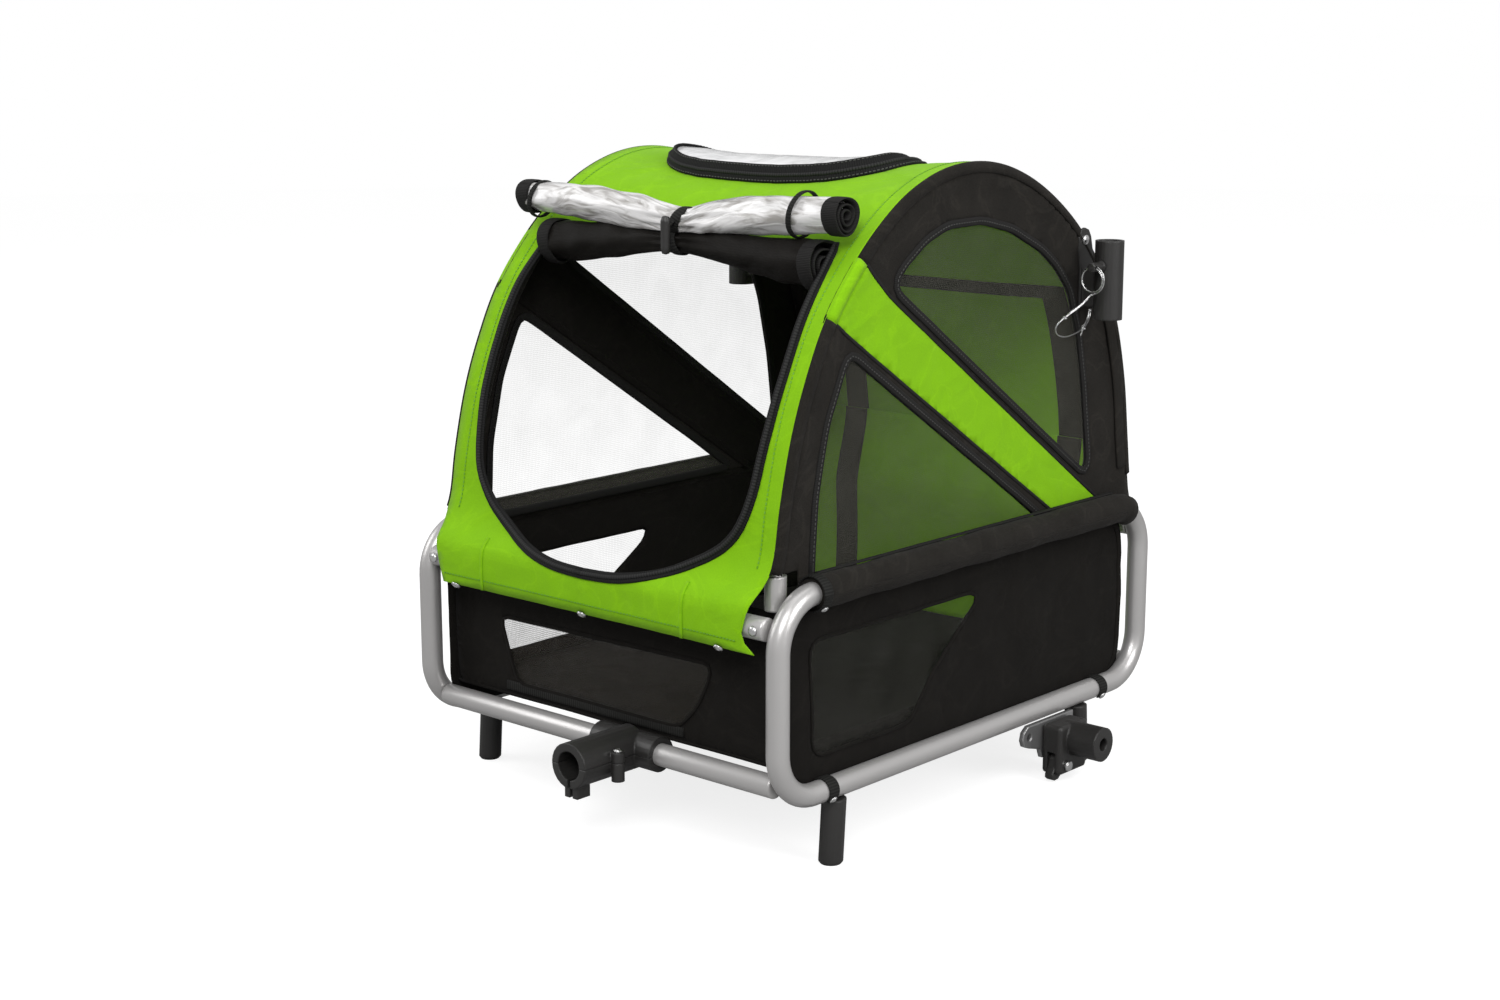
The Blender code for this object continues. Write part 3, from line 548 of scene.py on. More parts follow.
def loft(name, rings, look, closed=False, body=ROOT):
    """Skin over a row of rings; the cut holds the place along and round it."""
    shape = bmesh.new()
    layer = shape.verts.layers.float_vector.new("cut")
    middles = [sum(ring, Vector()) / len(ring) for ring in rings]
    loops = []
    far = 0.0
    for k, ring in enumerate(rings):
        if k:
            far += (middles[k] - middles[k - 1]).length
        passed = 0.0
        verts = []
        for n, spot in enumerate(ring):
            vert = shape.verts.new(spot)
            if n:
                passed += (spot - ring[n - 1]).length
            vert[layer] = Vector((far, passed, 0.0))
            verts.append(vert)
        loops.append([shape.edges.new(pair) for pair in zip(verts, verts[1:] + verts[:1])])
    for first, second in list(zip(loops, loops[1:])) + ([(loops[-1], loops[0])] if closed else []):
        bmesh.ops.bridge_loops(shape, edges=first + second)
    if not closed:
        for loop in (loops[0], loops[-1]):
            bmesh.ops.contextual_create(shape, geom=loop)
    bmesh.ops.recalc_face_normals(shape, faces=shape.faces)
    made = finish_mesh(shape, name, look)
    attach(made, body)
    return made


def directions(line, closed):
    """Direction of a line at each of its points."""
    last = len(line) - 1
    found = []
    for k in range(last + 1):
        before = line[k - 1] if closed else line[max(k - 1, 0)]
        after = line[(k + 1) % (last + 1)] if closed else line[min(k + 1, last)]
        found.append((after - before).normalized())
    return found


def ribbon(name, line, normals, width, height, look, closed=False):
    """Flat band with soft edges along a line; normals is one direction, or one for each point."""
    if isinstance(normals, Vector):
        normals = [normals] * len(line)
    rings = []
    for spot, along, normal in zip(line, directions(line, closed), normals):
        across = along.cross(normal).normalized()
        up = across.cross(along).normalized()
        rings.append([spot + across * (a * width) + up * (h * height) for a, h in RIBBON])
    return loft(name, rings, look, closed)


def skin_ribbon(name, edge, lift, width, height, look, closed=False, sign=1):
    """Ribbon on the body cloth along places in (x, length along the outline)."""
    line = [on_skin(x, v, lift) for x, v in edge]
    return ribbon(name, line, [skin_normal(v) * sign for _, v in edge], width, height, look, closed)


def bar(name, line, radius, look, closed=False, sides=10, body=ROOT, first=Vector((0.0, 0.0, 1.0))):
    """Round bar along a line; the radius may change along it."""
    rings = []
    for k, (spot, along) in enumerate(zip(line, directions(line, closed))):
        if abs(along.dot(first)) > 0.95:
            first = Vector((0.0, 1.0, 0.0)) if abs(along.y) < 0.9 else Vector((1.0, 0.0, 0.0))
        across = along.cross(first).normalized()
        first = across.cross(along).normalized()
        r = radius(k / (len(line) - 1)) if callable(radius) else radius
        rings.append([spot + across * (r * math.cos(t)) + first * (r * math.sin(t)) for t in around(sides)])
    return loft(name, rings, look, closed, body)


def button(name, spot, normal, size):
    """Turned stud with a domed head and a ring round it; size is its radius and height."""
    radius, height = size
    shape = bmesh.new()
    verts = [shape.verts.new((r * radius, 0.0, h * height)) for r, h in BUTTON]
    edges = [shape.edges.new(pair) for pair in zip(verts, verts[1:])]
    bmesh.ops.spin(shape, geom=verts + edges, cent=(0, 0, 0), axis=(0, 0, 1), angle=2 * math.pi, steps=24,
                   use_merge=True)
    bmesh.ops.remove_doubles(shape, verts=shape.verts, dist=0.000005)
    bmesh.ops.recalc_face_normals(shape, faces=shape.faces)
    turn = Vector((0, 0, 1)).rotation_difference(normal).to_matrix().to_4x4()
    bmesh.ops.transform(shape, matrix=Matrix.Translation(spot) @ turn, verts=shape.verts)
    attach(finish_mesh(shape, name, "zinc_plate"))


def round_rail(side, y, z, radius, turns):
    """Places round a rail and the directions outwards there."""
    outs = [Vector((side * math.cos(t), 0.0, math.sin(t))) for t in turns]
    return [at(side * LOOP_X, y, z) + out * radius for out in outs], outs


def feed(tree, made, inputs):
    """Set a node's inputs: a socket is linked, and anything else is a constant."""
    for key, value in inputs.items():
        if isinstance(value, bpy.types.NodeSocket):
            tree.links.new(value, made.inputs[key])
        else:
            made.inputs[key].default_value = value


def node(tree, kind, inputs=None, **settings):
    made = tree.nodes.new("ShaderNode" + kind)
    for key, value in settings.items():
        setattr(made, key, value)
    feed(tree, made, inputs or {})
    return made


def maths(tree, operation, *values):
    return node(tree, "Math", dict(enumerate(values)), operation=operation).outputs[0]


def noise_at(tree, source, scale, detail=2.0, distortion=0.0):
    inputs = {"Vector": source, "Scale": scale, "Detail": detail, "Distortion": distortion}
    return node(tree, "TexNoise", inputs).outputs["Fac"]


def wave_at(tree, source, scale, distortion=0.0, way="X"):
    inputs = {"Vector": source, "Scale": scale, "Distortion": distortion}
    return node(tree, "TexWave", inputs, bands_direction=way).outputs["Fac"]


def crossed_threads(tree, source, scale, distortion=0.0):
    """Height of two sets of threads that cross."""
    return maths(tree, "MAXIMUM", *(wave_at(tree, source, scale, distortion, way) for way in "XY"))


def remap(tree, value, low, high, to_low, to_high):
    inputs = {"Value": value, "From Min": low, "From Max": high, "To Min": to_low, "To Max": to_high}
    return node(tree, "MapRange", inputs).outputs["Result"]


def mixed(tree, factor, first, second, clamped=True):
    inputs = {"Factor": factor, "A": (*first, 1.0), "B": (*second, 1.0)}
    return node(tree, "Mix", inputs, data_type="RGBA", clamp_factor=clamped).outputs["Result"]


def bumped(tree, height, strength, distance, **normal):
    inputs = {"Height": height, "Strength": strength, "Distance": distance, **normal}
    return node(tree, "Bump", inputs).outputs["Normal"]


def cut_input(tree):
    """Place in the piece's own cut, kept as an attribute."""
    return node(tree, "Attribute", attribute_name="cut").outputs["Vector"]


def new_material(name):
    made = bpy.data.materials.new(name)
    made.use_nodes = True
    LOOKS[name] = made
    return made.node_tree, made.node_tree.nodes["Principled BSDF"]


def weave_group():
    """Shared weave: thread height, uneven shade with painted highlights along crease lines, and soft folds
    from the cloth's own cut.
    """
    tree = bpy.data.node_groups.new("weave", "ShaderNodeTree")
    tree.interface.new_socket("Cut", in_out="INPUT", socket_type="NodeSocketVector")
    tree.interface.new_socket("Threads", in_out="INPUT", socket_type="NodeSocketFloat")
    for name in ("Height", "Shade", "Folds"):
        tree.interface.new_socket(name, in_out="OUTPUT", socket_type="NodeSocketFloat")
    enter = tree.nodes.new("NodeGroupInput")
    cut = enter.outputs["Cut"]
    height = crossed_threads(tree, cut, enter.outputs["Threads"], 0.6)
    yarn = remap(tree, noise_at(tree, cut, 620.0, 3.0), 0.30, 0.70, -0.30, 0.30)
    uneven = maths(tree, "ADD", noise_at(tree, cut, 26.0, 6.0), yarn)
    thread_shade = maths(tree, "MULTIPLY_ADD", height, 0.25, uneven)
    # Painted highlight: thin lighter lines along the creases of a slow noise, standing in for light catching
    # on wrinkles.
    bent = maths(tree, "SUBTRACT", noise_at(tree, cut, 11.0, 3.0, 1.6), 0.5)
    crease = remap(tree, maths(tree, "ABSOLUTE", bent), 0.0, 0.022, 0.42, 0.0)
    # The Shade output is the weave's tone plus this painted crease highlight.
    shade = maths(tree, "ADD", thread_shade, crease)
    folds = noise_at(tree, cut, 17.0, 2.0, 0.8)
    feed(tree, tree.nodes.new("NodeGroupOutput"), {"Height": height, "Shade": shade, "Folds": folds})
    return tree


def cloth_material(name, group, first, second, pitch, roughness, sheen, bump):
    """Woven cloth in two shades with soft folds and painted highlights along crease lines."""
    tree, shader = new_material(name)
    inputs = {"Cut": cut_input(tree), "Threads": WAVE_SCALE / pitch}
    weave = node(tree, "Group", inputs, node_tree=group).outputs
    soft = bumped(tree, weave["Folds"], 0.55, 0.0060)
    feed(tree, shader, {
        # The weave's Shade carries the painted crease highlight; the mix is not clamped, so it can go lighter
        # than the first colour.
        "Base Color": mixed(tree, weave["Shade"], second, first, clamped=False),
        "Roughness": roughness,
        "Sheen Weight": sheen,
        "Specular IOR Level": 0.10,
        "Normal": bumped(tree, weave["Height"], bump, 0.0004, Normal=soft),
    })


def mesh_material(name, thread, cover):
    """Open net: thin threads with see-through holes; cover is the mean share that they hide."""
    tree, shader = new_material(name)
    source = cut_input(tree)
    threads = crossed_threads(tree, source, WAVE_SCALE / NET_PITCH)
    solid = remap(tree, threads, 0.30, 1.0, cover * 0.40, cover * 1.60)
    uneven = remap(tree, noise_at(tree, source, 24.0, 4.0, 0.6), 0.25, 0.75, 0.80, 1.20)
    slack = {"Vector": source, "Rotation": (0.0, 0.0, 0.9), "Scale": (14.0, 52.0, 1.0)}
    pulls = noise_at(tree, node(tree, "Mapping", slack).outputs["Vector"], 1.0)
    feed(tree, shader, {
        "Base Color": (*thread, 1.0),
        "Roughness": 0.45,
        "Alpha": maths(tree, "MULTIPLY", solid, uneven),
        "Normal": bumped(tree, pulls, 0.8, 0.0080),
    })


def film_material(name, alpha, stretch, dark, pale):
    """Clear film with soft crinkles; its tone is darker in the crinkles' hollows and, on a roll, in streaks
    along its layers: painted shade.
    """
    tree, shader = new_material(name)
    place = node(tree, "Mapping", {"Vector": cut_input(tree), "Scale": stretch}).outputs["Vector"]
    grain = noise_at(tree, place, 1.0, 8.0, 1.4)
    # Painted shade: the grain that bends the film also picks its tone, so the dark tone falls in the
    # crinkles' hollows and the roll's streaks.
    tone = node(tree, "ValToRGB", {"Fac": grain})
    for element, position, shade in zip(tone.color_ramp.elements, (0.36, 0.54), (dark, pale)):
        element.position = position
        element.color = (*shade, 1.0)
    feed(tree, shader, {
        "Base Color": tone.outputs["Color"],
        "Roughness": 0.12,
        "Alpha": alpha,
        "Coat Weight": 0.5,
        "Normal": bumped(tree, grain, 0.9, 0.0016),
    })


def hard_material(name, base, worn, roughness, metallic, grain_size, bump):
    """Painted, moulded or plated piece: fine grain, uneven shade and eased edges."""
    tree, shader = new_material(name)
    place = node(tree, "TexCoord").outputs["Object"]
    grain = noise_at(tree, place, 1.0 / grain_size, 5.0)
    eased = node(tree, "Bevel", {"Radius": 0.0028}, samples=6).outputs["Normal"]
    feed(tree, shader, {
        "Base Color": mixed(tree, noise_at(tree, place, 18.0), base, worn),
        "Roughness": remap(tree, grain, 0.0, 1.0, roughness * 0.8, roughness * 1.25),
        "Metallic": metallic,
        "Normal": bumped(tree, grain, bump, 0.0003, Normal=eased),
    })


def stitch_material(name, thread):
    """Row of stitches: short dashes with gaps between them."""
    tree, shader = new_material(name)
    wave = wave_at(tree, cut_input(tree), WAVE_SCALE / STITCH_PITCH)
    feed(tree, shader, {
        "Base Color": (*thread, 1.0),
        "Roughness": 0.6,
        "Alpha": maths(tree, "GREATER_THAN", wave, 0.35),
    })


def ribbed_material(name, base, pitch):
    """Binding tape and webbing with ribs across it."""
    tree, shader = new_material(name)
    wave = wave_at(tree, cut_input(tree), WAVE_SCALE / pitch, 0.8)
    feed(tree, shader, {
        "Base Color": mixed(tree, wave, [c * 0.5 for c in base], [min(1.0, c * 1.3) for c in base]),
        "Roughness": 0.75,
        "Specular IOR Level": 0.20,
        "Normal": bumped(tree, wave, 0.6, 0.0005),
    })


class TRAILER_OT_materials(bpy.types.Operator):
    """Make the materials and give the rigid pieces theirs"""

    bl_idname = "trailer.materials"
    bl_label = "Materials"

    def execute(self, context):
        s = context.scene.trailer
        group = weave_group()
        cloth_material("lime_cloth", group, s.lime, s.lime_shade, s.weave, 0.75, 0.05, 0.25)
        cloth_material("black_cloth", group, s.black, s.black_shade, s.weave, 0.80, 0.03, 0.35)
        cloth_material("tub_cloth", group, s.tub, [c * 0.4 for c in s.tub], s.weave, 0.85, 0.02, 0.40)
        cloth_material("rolled_net", group, s.tub, s.black_shade, 0.0016, 0.50, 0.0, 0.60)
        mesh_material("window_mesh", s.mesh, 0.085)
        mesh_material("pocket_mesh", [c * 0.27 for c in s.mesh], 0.105)
        mesh_material("front_mesh", (0.0300, 0.0255, 0.0185), 0.200)
        # The darker tone of each film is painted shade in its crinkles and streaks.
        film_material("clear_film", 0.80, (26.0, 34.0, 1.0), (0.80, 0.80, 0.81), (0.92, 0.92, 0.93))
        film_material("rolled_film", 0.94, (20.0, 95.0, 1.0), (0.33, 0.315, 0.30), (0.74, 0.73, 0.73))
        ribbed_material("binding", s.binding, 0.0016)
        ribbed_material("zip_tape", (0.006, 0.006, 0.006), 0.0024)
        ribbed_material("zip_teeth", (0.020, 0.020, 0.020), 0.0030)
        ribbed_material("webbing", (0.012, 0.012, 0.011), 0.0030)
        stitch_material("lime_thread", (0.120, 0.330, 0.010))
        stitch_material("grey_thread", (0.045, 0.045, 0.043))
        hard_material("tube_paint", s.paint, [c * 1.06 for c in s.paint], 0.33, 0.55, 0.0020, 0.05)
        hard_material("moulded_plastic", s.plastic, [c * 1.8 for c in s.plastic], 0.42, 0.0, 0.0008, 0.25)
        hard_material("zinc_plate", (0.62, 0.62, 0.63), (0.78, 0.78, 0.77), 0.24, 1.0, 0.0010, 0.05)
        hard_material("bracket_steel", (0.30, 0.30, 0.30), (0.42, 0.42, 0.42), 0.36, 0.85, 0.0012, 0.08)
        chosen = {SLOTS[look]: LOOKS[look] for look in RIGID_LOOKS}
        for entry in frame["record"]["subparts"]:
            look = chosen.get(entry["material_slot"])
            if look:
                data = bpy.data.objects[entry["node"]].data
                data.materials.clear()
                data.materials.append(look)
        return {"FINISHED"}


def door_outline():
    """Closed door outline in (x, length along the outline)."""
    right = smooth_line([(x, PROFILE.front_at(z)) for x, z in DOOR_HALF], 6)
    loop = right + [Vector((-p.x, p.y)) for p in reversed(right[1:])]
    return even_line(loop, 0.010, closed=True)


def sun_outline(margin):
    """Closed outline of the sun window in (x, length along the outline), drawn in by a margin."""
    points = []
    for turn in around(56):
        flat = math.copysign(abs(math.cos(turn)) ** 0.6, math.cos(turn))
        lift = math.copysign(abs(math.sin(turn)) ** 0.8, math.sin(turn))
        y = SUN_MIDDLE_Y + (SUN_HALF_Y - margin) * lift
        points.append(Vector(((SUN_HALF_X - margin) * flat, PROFILE.roof_at(y))))
    return even_line(points, 0.010, closed=True)


def rim_tilt(spot):
    """Lean of the sun window's zip: it stands up at the front and lies flat at the rear."""
    return math.radians(52) * (1 - ease((spot.y - MIDDLE_Y + 0.046) / 0.100))


def on_film(x, v):
    """Place on the sun window's film, level with the upper edge of its zip."""
    return on_skin(x, v, SUN_RIM * math.sin(rim_tilt(on_skin(0.0, v))) - 0.0014)


def edge_wrap(name, side, start, end, look):
    """Side cloth turned over the hoop, up to the edge of the body cloth."""
    rings = []
    for v in span(start, end, max(6, round((end - start) / 0.007))):
        spot, normal = PROFILE.spot(v), PROFILE.normal(v)
        ring = [on_skin(side * (SKIN_HALF - 0.0008), v, lift) for lift in (-0.0014, -0.0001)]
        for x, up in HOOP_WRAP:
            ring.append(at(side * (SIDE_X + x), spot.x + normal.x * up, spot.y + normal.y * up))
        rings.append(ring)
    loft(name, rings, look)


class TRAILER_OT_body_cloth(bpy.types.Operator):
    """Lime cloth over the front, roof and rear, with the door's zip and the sun window"""

    bl_idname = "trailer.body_cloth"
    bl_label = "Body cloth"

    def execute(self, context):
        s = context.scene.trailer
        stations = span(0.0, PROFILE.total, 130)
        outer = [Vector((skin_half(v) + hem_flare(v), v)) for v in stations]
        outer += [Vector((-skin_half(v), v)) for v in reversed(stations)]
        door = door_outline()
        cloth = panel("body_cloth", [outer, door, sun_outline(0.003)], on_skin, "lime_cloth", s.cloth,
                      step=0.011)
        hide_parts("canopy_front", "canopy_roof", "canopy_rear")
        film = panel("sun_film", [sun_outline(0.0085)], on_film, "clear_film", FILM, step=0.009)
        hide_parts("sun_window_film")
        skin_ribbon("door_zip_tape", door, 0.0004, s.zip_width, 0.0016, "zip_tape", closed=True)
        teeth = [on_skin(x, v, DOOR_COIL_R) for x, v in door]
        bar("door_zip_coil", teeth, DOOR_COIL_R, "zip_teeth", closed=True, sides=8)
        self.sun_rim()
        for name, x in FRONT_SEAMS:
            edge = [(x, v) for v in span(0.0, PROFILE.front_at(FRONT_SEAM_TOP_Z), 8)]
            skin_ribbon(f"front_seam_{name}", edge, 0.0003, *FRONT_SEAM, "lime_cloth")
        for end, v in (("front", HEM_STITCH_UP), ("rear", PROFILE.total - HEM_STITCH_UP)):
            half = skin_half(v) - 0.004
            edge = [(x, v) for x in span(-half, half, 40)]
            skin_ribbon(f"hem_stitch_{end}", edge, TRIM_GAP, *HEM_STITCH, "lime_thread")
        self.hoop_edges()
        self.rear_strips(s)
        return {"FINISHED"}

    def sun_rim(self):
        """Zip round the sun window, with its teeth and two rows of stitches."""
        edge = sun_outline(SUN_RIM_FOOT)
        foot = [on_skin(x, v, 0.0004) for x, v in edge]
        middle = sum(foot, Vector()) / len(foot)
        rows = []
        for k, (p, spot) in enumerate(zip(edge, foot)):
            normal = skin_normal(p.y)
            out = (foot[(k + 1) % len(foot)] - foot[k - 1]).normalized().cross(normal)
            out *= math.copysign(1.0, out.dot(spot - middle))
            lean = rim_tilt(spot)
            up = normal * math.sin(lean) - out * math.cos(lean)
            rows.append((spot, up, normal * math.cos(lean) + out * math.sin(lean)))
        faces = [face for _, _, face in rows]

        def along(share, lift):
            return [spot + up * (SUN_RIM * share) + face * lift for spot, up, face in rows]

        ribbon("sun_zip_tape", along(0.5, 0.0), faces, SUN_RIM, 0.0018, "zip_tape", closed=True)
        bar("sun_zip_coil", along(0.42, 0.0016), SUN_COIL_R, "zip_teeth", closed=True, sides=8)
        for part, share in (("inside", 0.90), ("outside", 0.10)):
            ribbon(f"sun_stitch_{part}", along(share, 0.0015), faces, *STITCH, "grey_thread", closed=True)

    def hoop_edges(self):
        """Cloth round the hoops, black beside the black cloths and lime beside the band, with its seam."""
        low, end = PROFILE.front_at(WRAP_LOW_Z), PROFILE.rear_at(WRAP_LOW_Z)
        band, arch = PROFILE.front_at(BAND_LOW[0][1]), PROFILE.front_at(BAND_TOP[0][1])
        stations = span(low, end, 150)
        for name, side in SIDES:
            edge_wrap(f"front_edge_{name}", side, low, band, "black_cloth")
            edge_wrap(f"band_edge_{name}", side, band, arch, "lime_cloth")
            edge_wrap(f"arch_edge_{name}", side, arch, end, "black_cloth")
            inside = [PROFILE.spot(v) - PROFILE.normal(v) * TUNNEL_DEEP for v in stations]
            bar(f"hoop_tunnel_{name}", [at(side * TUNNEL_X, *p) for p in inside],
                lambda t: TUNNEL_R + 0.0003 * math.sin(t * 60), "black_cloth", sides=16)
            edge = [(side * (SKIN_HALF - HOOP_SEAM_IN), v) for v in stations]
            skin_ribbon(f"hoop_seam_{name}", edge, 0.0001, *HOOP_STITCH, "lime_thread")

    def rear_strips(self, s):
        """Black strips on the rear cloth: one across and one down each side, inside and outside."""
        top = PROFILE.rear_at(STRAP_Z)
        faces = (("outside", 0.0003, 1, 0.226), ("inside", -s.cloth - 0.0003, -1, 0.322))
        for part, lift, sign, low in faces:
            edge = [(x, top) for x in span(-STRAP_HALF, STRAP_HALF, 30)]
            skin_ribbon(f"rear_webbing_{part}", edge, lift, *REAR_STRAP, "webbing", sign=sign)
            stations = span(top, PROFILE.rear_at(low), 40)
            for name, side in SIDES:
                edge = [(side * STRIP_X, v) for v in stations]
                skin_ribbon(f"rear_strip_{part}_{name}", edge, lift, *REAR_STRIP, "black_cloth", sign=sign)


def side_outlines():
    """Outlines of the three cloths of a side, in the side plane."""
    edge = [p for p in even_line(PROFILE.points, 0.006) if p.y >= 0.288 or p.x > 0 and p.y >= PANEL_LOW_Z]
    low_line = [Vector(p) for p in BAND_LOW]
    top_line = [Vector(p) for p in BAND_TOP]
    front = [p for p in edge if p.x < -0.15 and p.y < 0.514]
    band = [p for p in edge if p.x < -0.10 and 0.520 < p.y < 0.565]
    rear = [p for p in edge if p.x > -0.165]
    start = [Vector((-0.2520, PANEL_LOW_Z)), Vector((-0.2540, 0.2880))]
    end = Vector((rear[-1].x + 0.001, PANEL_LOW_Z))
    return {
        "front": start + front + low_line,
        "band": [low_line[0]] + band + top_line + [low_line[1]],
        "arch": [top_line[0]] + rear + [end, top_line[2], top_line[1]],
    }


class TRAILER_OT_side_cloth(bpy.types.Operator):
    """Side cloths with their mesh windows and bindings"""

    bl_idname = "trailer.side_cloth"
    bl_label = "Side cloth"

    def execute(self, context):
        s = context.scene.trailer
        cuts = side_outlines()
        low = rounded_loop(LOW_WINDOW, 0.012, 0.008)
        top = rounded_loop(TOP_WINDOW, 0.010, 0.008)
        for name, side in SIDES:
            self.cloth(f"front_cloth_{name}", side, [cuts["front"], low], "black_cloth", s.cloth,
                       f"side_front_cloth_{name}")
            self.cloth(f"slanting_band_{name}", side, [cuts["band"]], "lime_cloth", s.cloth,
                       f"side_band_{name}")
            # Dark sheet just behind the slanting band, so that its inside shows dark, not lime.
            self.cloth(f"band_dark_sheet_{name}", side, [cuts["band"]], "tub_cloth", BAND_DARK_SHEET, lift=-0.0022)
            self.cloth(f"arch_cloth_{name}", side, [cuts["arch"], top], "black_cloth", s.cloth,
                       f"side_arch_{name}")
            for part, loop in (("low", low), ("top", top)):
                self.window(s.binding_width, f"{part}_{name}", side, loop)
            flap = [PROFILE.spot(PROFILE.rear_at(z)) - Vector((0.0170, 0.0)) for z in FLAP_HEIGHTS]
            self.trim(f"rear_flap_{name}", side, smooth_line(flap, 5), TRIM_GAP, *REAR_FLAP, "black_cloth")
            for part, points in (("low", BAND_LOW), ("top", BAND_TOP)):
                line = even_line(points, 0.010)
                self.trim(f"band_seam_{part}_{name}", side, line, TRIM_GAP, *BAND_SEAM, "binding")
                self.trim(f"band_seam_inside_{part}_{name}", side, line, -0.0016, *BAND_SEAM_INSIDE,
                          "tub_cloth")
        return {"FINISHED"}

    def window(self, width, name, side, loop):
        """Net with its binding outside and inside and a row of stitches."""
        self.cloth(f"window_net_{name}", side, [loop], "window_mesh", WINDOW_NET, f"side_mesh_{name}",
                   lift=-0.0010)
        self.trim(f"window_binding_{name}", side, loop, TRIM_GAP, width, 0.0018, "binding", closed=True)
        self.trim(f"window_stitch_{name}", side, loop, 0.0020, *STITCH, "grey_thread", closed=True)
        self.trim(f"window_binding_inside_{name}", side, loop, -0.0020, width, 0.0014, "binding", closed=True)

    def cloth(self, name, side, loops, look, thickness, replaced=None, lift=0.0):
        made = panel(name, loops, lambda y, z: on_side(side, y, z, lift), look, thickness, flip=side < 0)
        if replaced:
            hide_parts(replaced)

    def trim(self, name, side, flat, lift, width, height, look, closed=False):
        """Ribbon on the side cloth, facing out, or inwards where it lies behind the cloth."""
        line = [on_side(side, p.x, p.y, lift) for p in flat]
        ribbon(name, line, Vector((math.copysign(side, side * lift), 0.0, 0.0)), width, height, look, closed)


class TRAILER_OT_tub(bpy.types.Operator):
    """Tub of black cloth with its mesh pockets, and the sleeves round the upper rails"""

    bl_idname = "trailer.tub"
    bl_label = "Tub"

    def execute(self, context):
        s = context.scene.trailer
        outline = rounded_loop(SIDE_WALL, 0.044, 0.007, steps=8)
        pocket = rounded_loop(POCKET, 0.016, 0.008)
        for name, side in SIDES:
            self.side(s, name, side, outline, pocket)
        self.front(s)
        self.rear(s)
        base = panel("tub_base", [even_line(TUB_BASE, 0.02, closed=True)],
                     lambda x, y: at(x, y, FLOOR_Z - 0.0006 + 0.0005 * ripple(x, y, 0.08, 5.0)),
                     "tub_cloth", BASE_CLOTH, step=0.02)
        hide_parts("tub_floor")
        for name, side in SIDES:
            self.sleeve(name, side)
        return {"FINISHED"}

    def side(self, s, name, side, outline, pocket):
        """Side wall with its pocket of mesh, and the edge of the floor cloth turned up inside it."""
        flip = side < 0
        wall = panel(f"tub_wall_{name}", [outline, pocket], lambda y, z: on_tub(side, y, z),
                     "tub_cloth", s.cloth, flip=flip)
        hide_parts(f"tub_side_{name}")
        panel(f"floor_edge_{name}", [even_line(FLOOR_EDGE, 0.012, closed=True)],
              lambda y, z: on_tub(side, y, z, -0.0045), "tub_cloth", FLOOR_LINING, flip=flip)
        panel(f"side_pocket_{name}", [pocket], lambda y, z: on_tub(side, y, z, net_folds(y, z)),
              "pocket_mesh", POCKET_NET, flip=flip)
        out = Vector((side, 0.0, 0.0))
        line = [on_tub(side, p.x, p.y, TRIM_GAP) for p in pocket]
        ribbon(f"pocket_seam_{name}", line, out, *POCKET_SEAM, "tub_cloth", closed=True)
        line = [on_tub(side, p.x * 0.982, 0.16 + (p.y - 0.16) * 0.95, TRIM_GAP) for p in outline]
        ribbon(f"tub_binding_{name}", line, out, *TUB_BINDING, "tub_cloth", closed=True)

    def front(self, s):
        """Front wall with its mesh and a strip along its lower edge."""
        window = rounded_loop(FRONT_MESH, 0.012, 0.008)
        wall = panel("tub_wall_front", [rounded_loop(FRONT_WALL, 0.010, 0.010), window],
                     lambda x, z: on_wall(-1, x, z), "tub_cloth", s.cloth)
        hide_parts("tub_front")
        panel("front_pocket", [window], lambda x, z: on_wall(-1, x, z, -0.0006), "front_mesh", POCKET_NET)
        out = Vector((0.0, -1.0, 0.0))
        line = [on_wall(-1, p.x, p.y, TRIM_GAP) for p in window]
        ribbon("front_pocket_seam", line, out, *POCKET_SEAM, "tub_cloth", closed=True)
        line = [on_wall(-1, x, 0.1115, TRIM_GAP) for x in span(-0.150, 0.100, 24)]
        ribbon("front_hem_strip", line, out, *HEM_STRIP, "webbing")

    def rear(self, s):
        """Rear wall with the lower ends of the black strips inside it."""
        wall = panel("tub_wall_rear", [rounded_loop(REAR_WALL, 0.010, 0.010)], lambda x, z: on_wall(1, x, z),
                     "lime_cloth", s.cloth, flip=True)
        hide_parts("tub_rear")
        for name, side in SIDES:
            line = [on_wall(1, side * STRIP_X, z, -s.cloth - TRIM_GAP) for z in span(0.110, 0.330, 40)]
            ribbon(f"rear_strip_low_{name}", line, Vector((0.0, -1.0, 0.0)), *REAR_STRIP, "black_cloth")

    def sleeve(self, name, side):
        """Cloth sleeve round an upper rail and the start of its rear bend, with two seams."""
        line = [at(side * LOOP_X, y, RAIL_TOP_Z) for y in span(-0.252, 0.251, 50)]
        for turn in (math.radians(90 - 9 * k) for k in range(1, 4)):
            line.append(at(side * LOOP_X, LOOP_BEND_Y + LOOP_BEND_R * math.cos(turn),
                           RAIL_TOP_Z - LOOP_BEND_R + LOOP_BEND_R * math.sin(turn)))

        def radius(t):
            return SLEEVE_R + 0.0008 * math.sin(t * 34) * math.sin(t * 11) + 0.0006 * (t < 0.02 or t > 0.98)

        sleeve = bar(f"sleeve_{name}", line, radius, "black_cloth", sides=20)
        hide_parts(f"rail_sleeve_{name}")
        for part, drop in (("top", 0.0178), ("low", -0.0172)):
            row = [p + Vector((-side * 0.0050, 0.0, drop * 0.93)) for p in line[1:51]]
            facing = Vector((0.0, 0.0, math.copysign(1, drop)))
            ribbon(f"sleeve_seam_{part}_{name}", row, facing, *SLEEVE_SEAM, "binding")


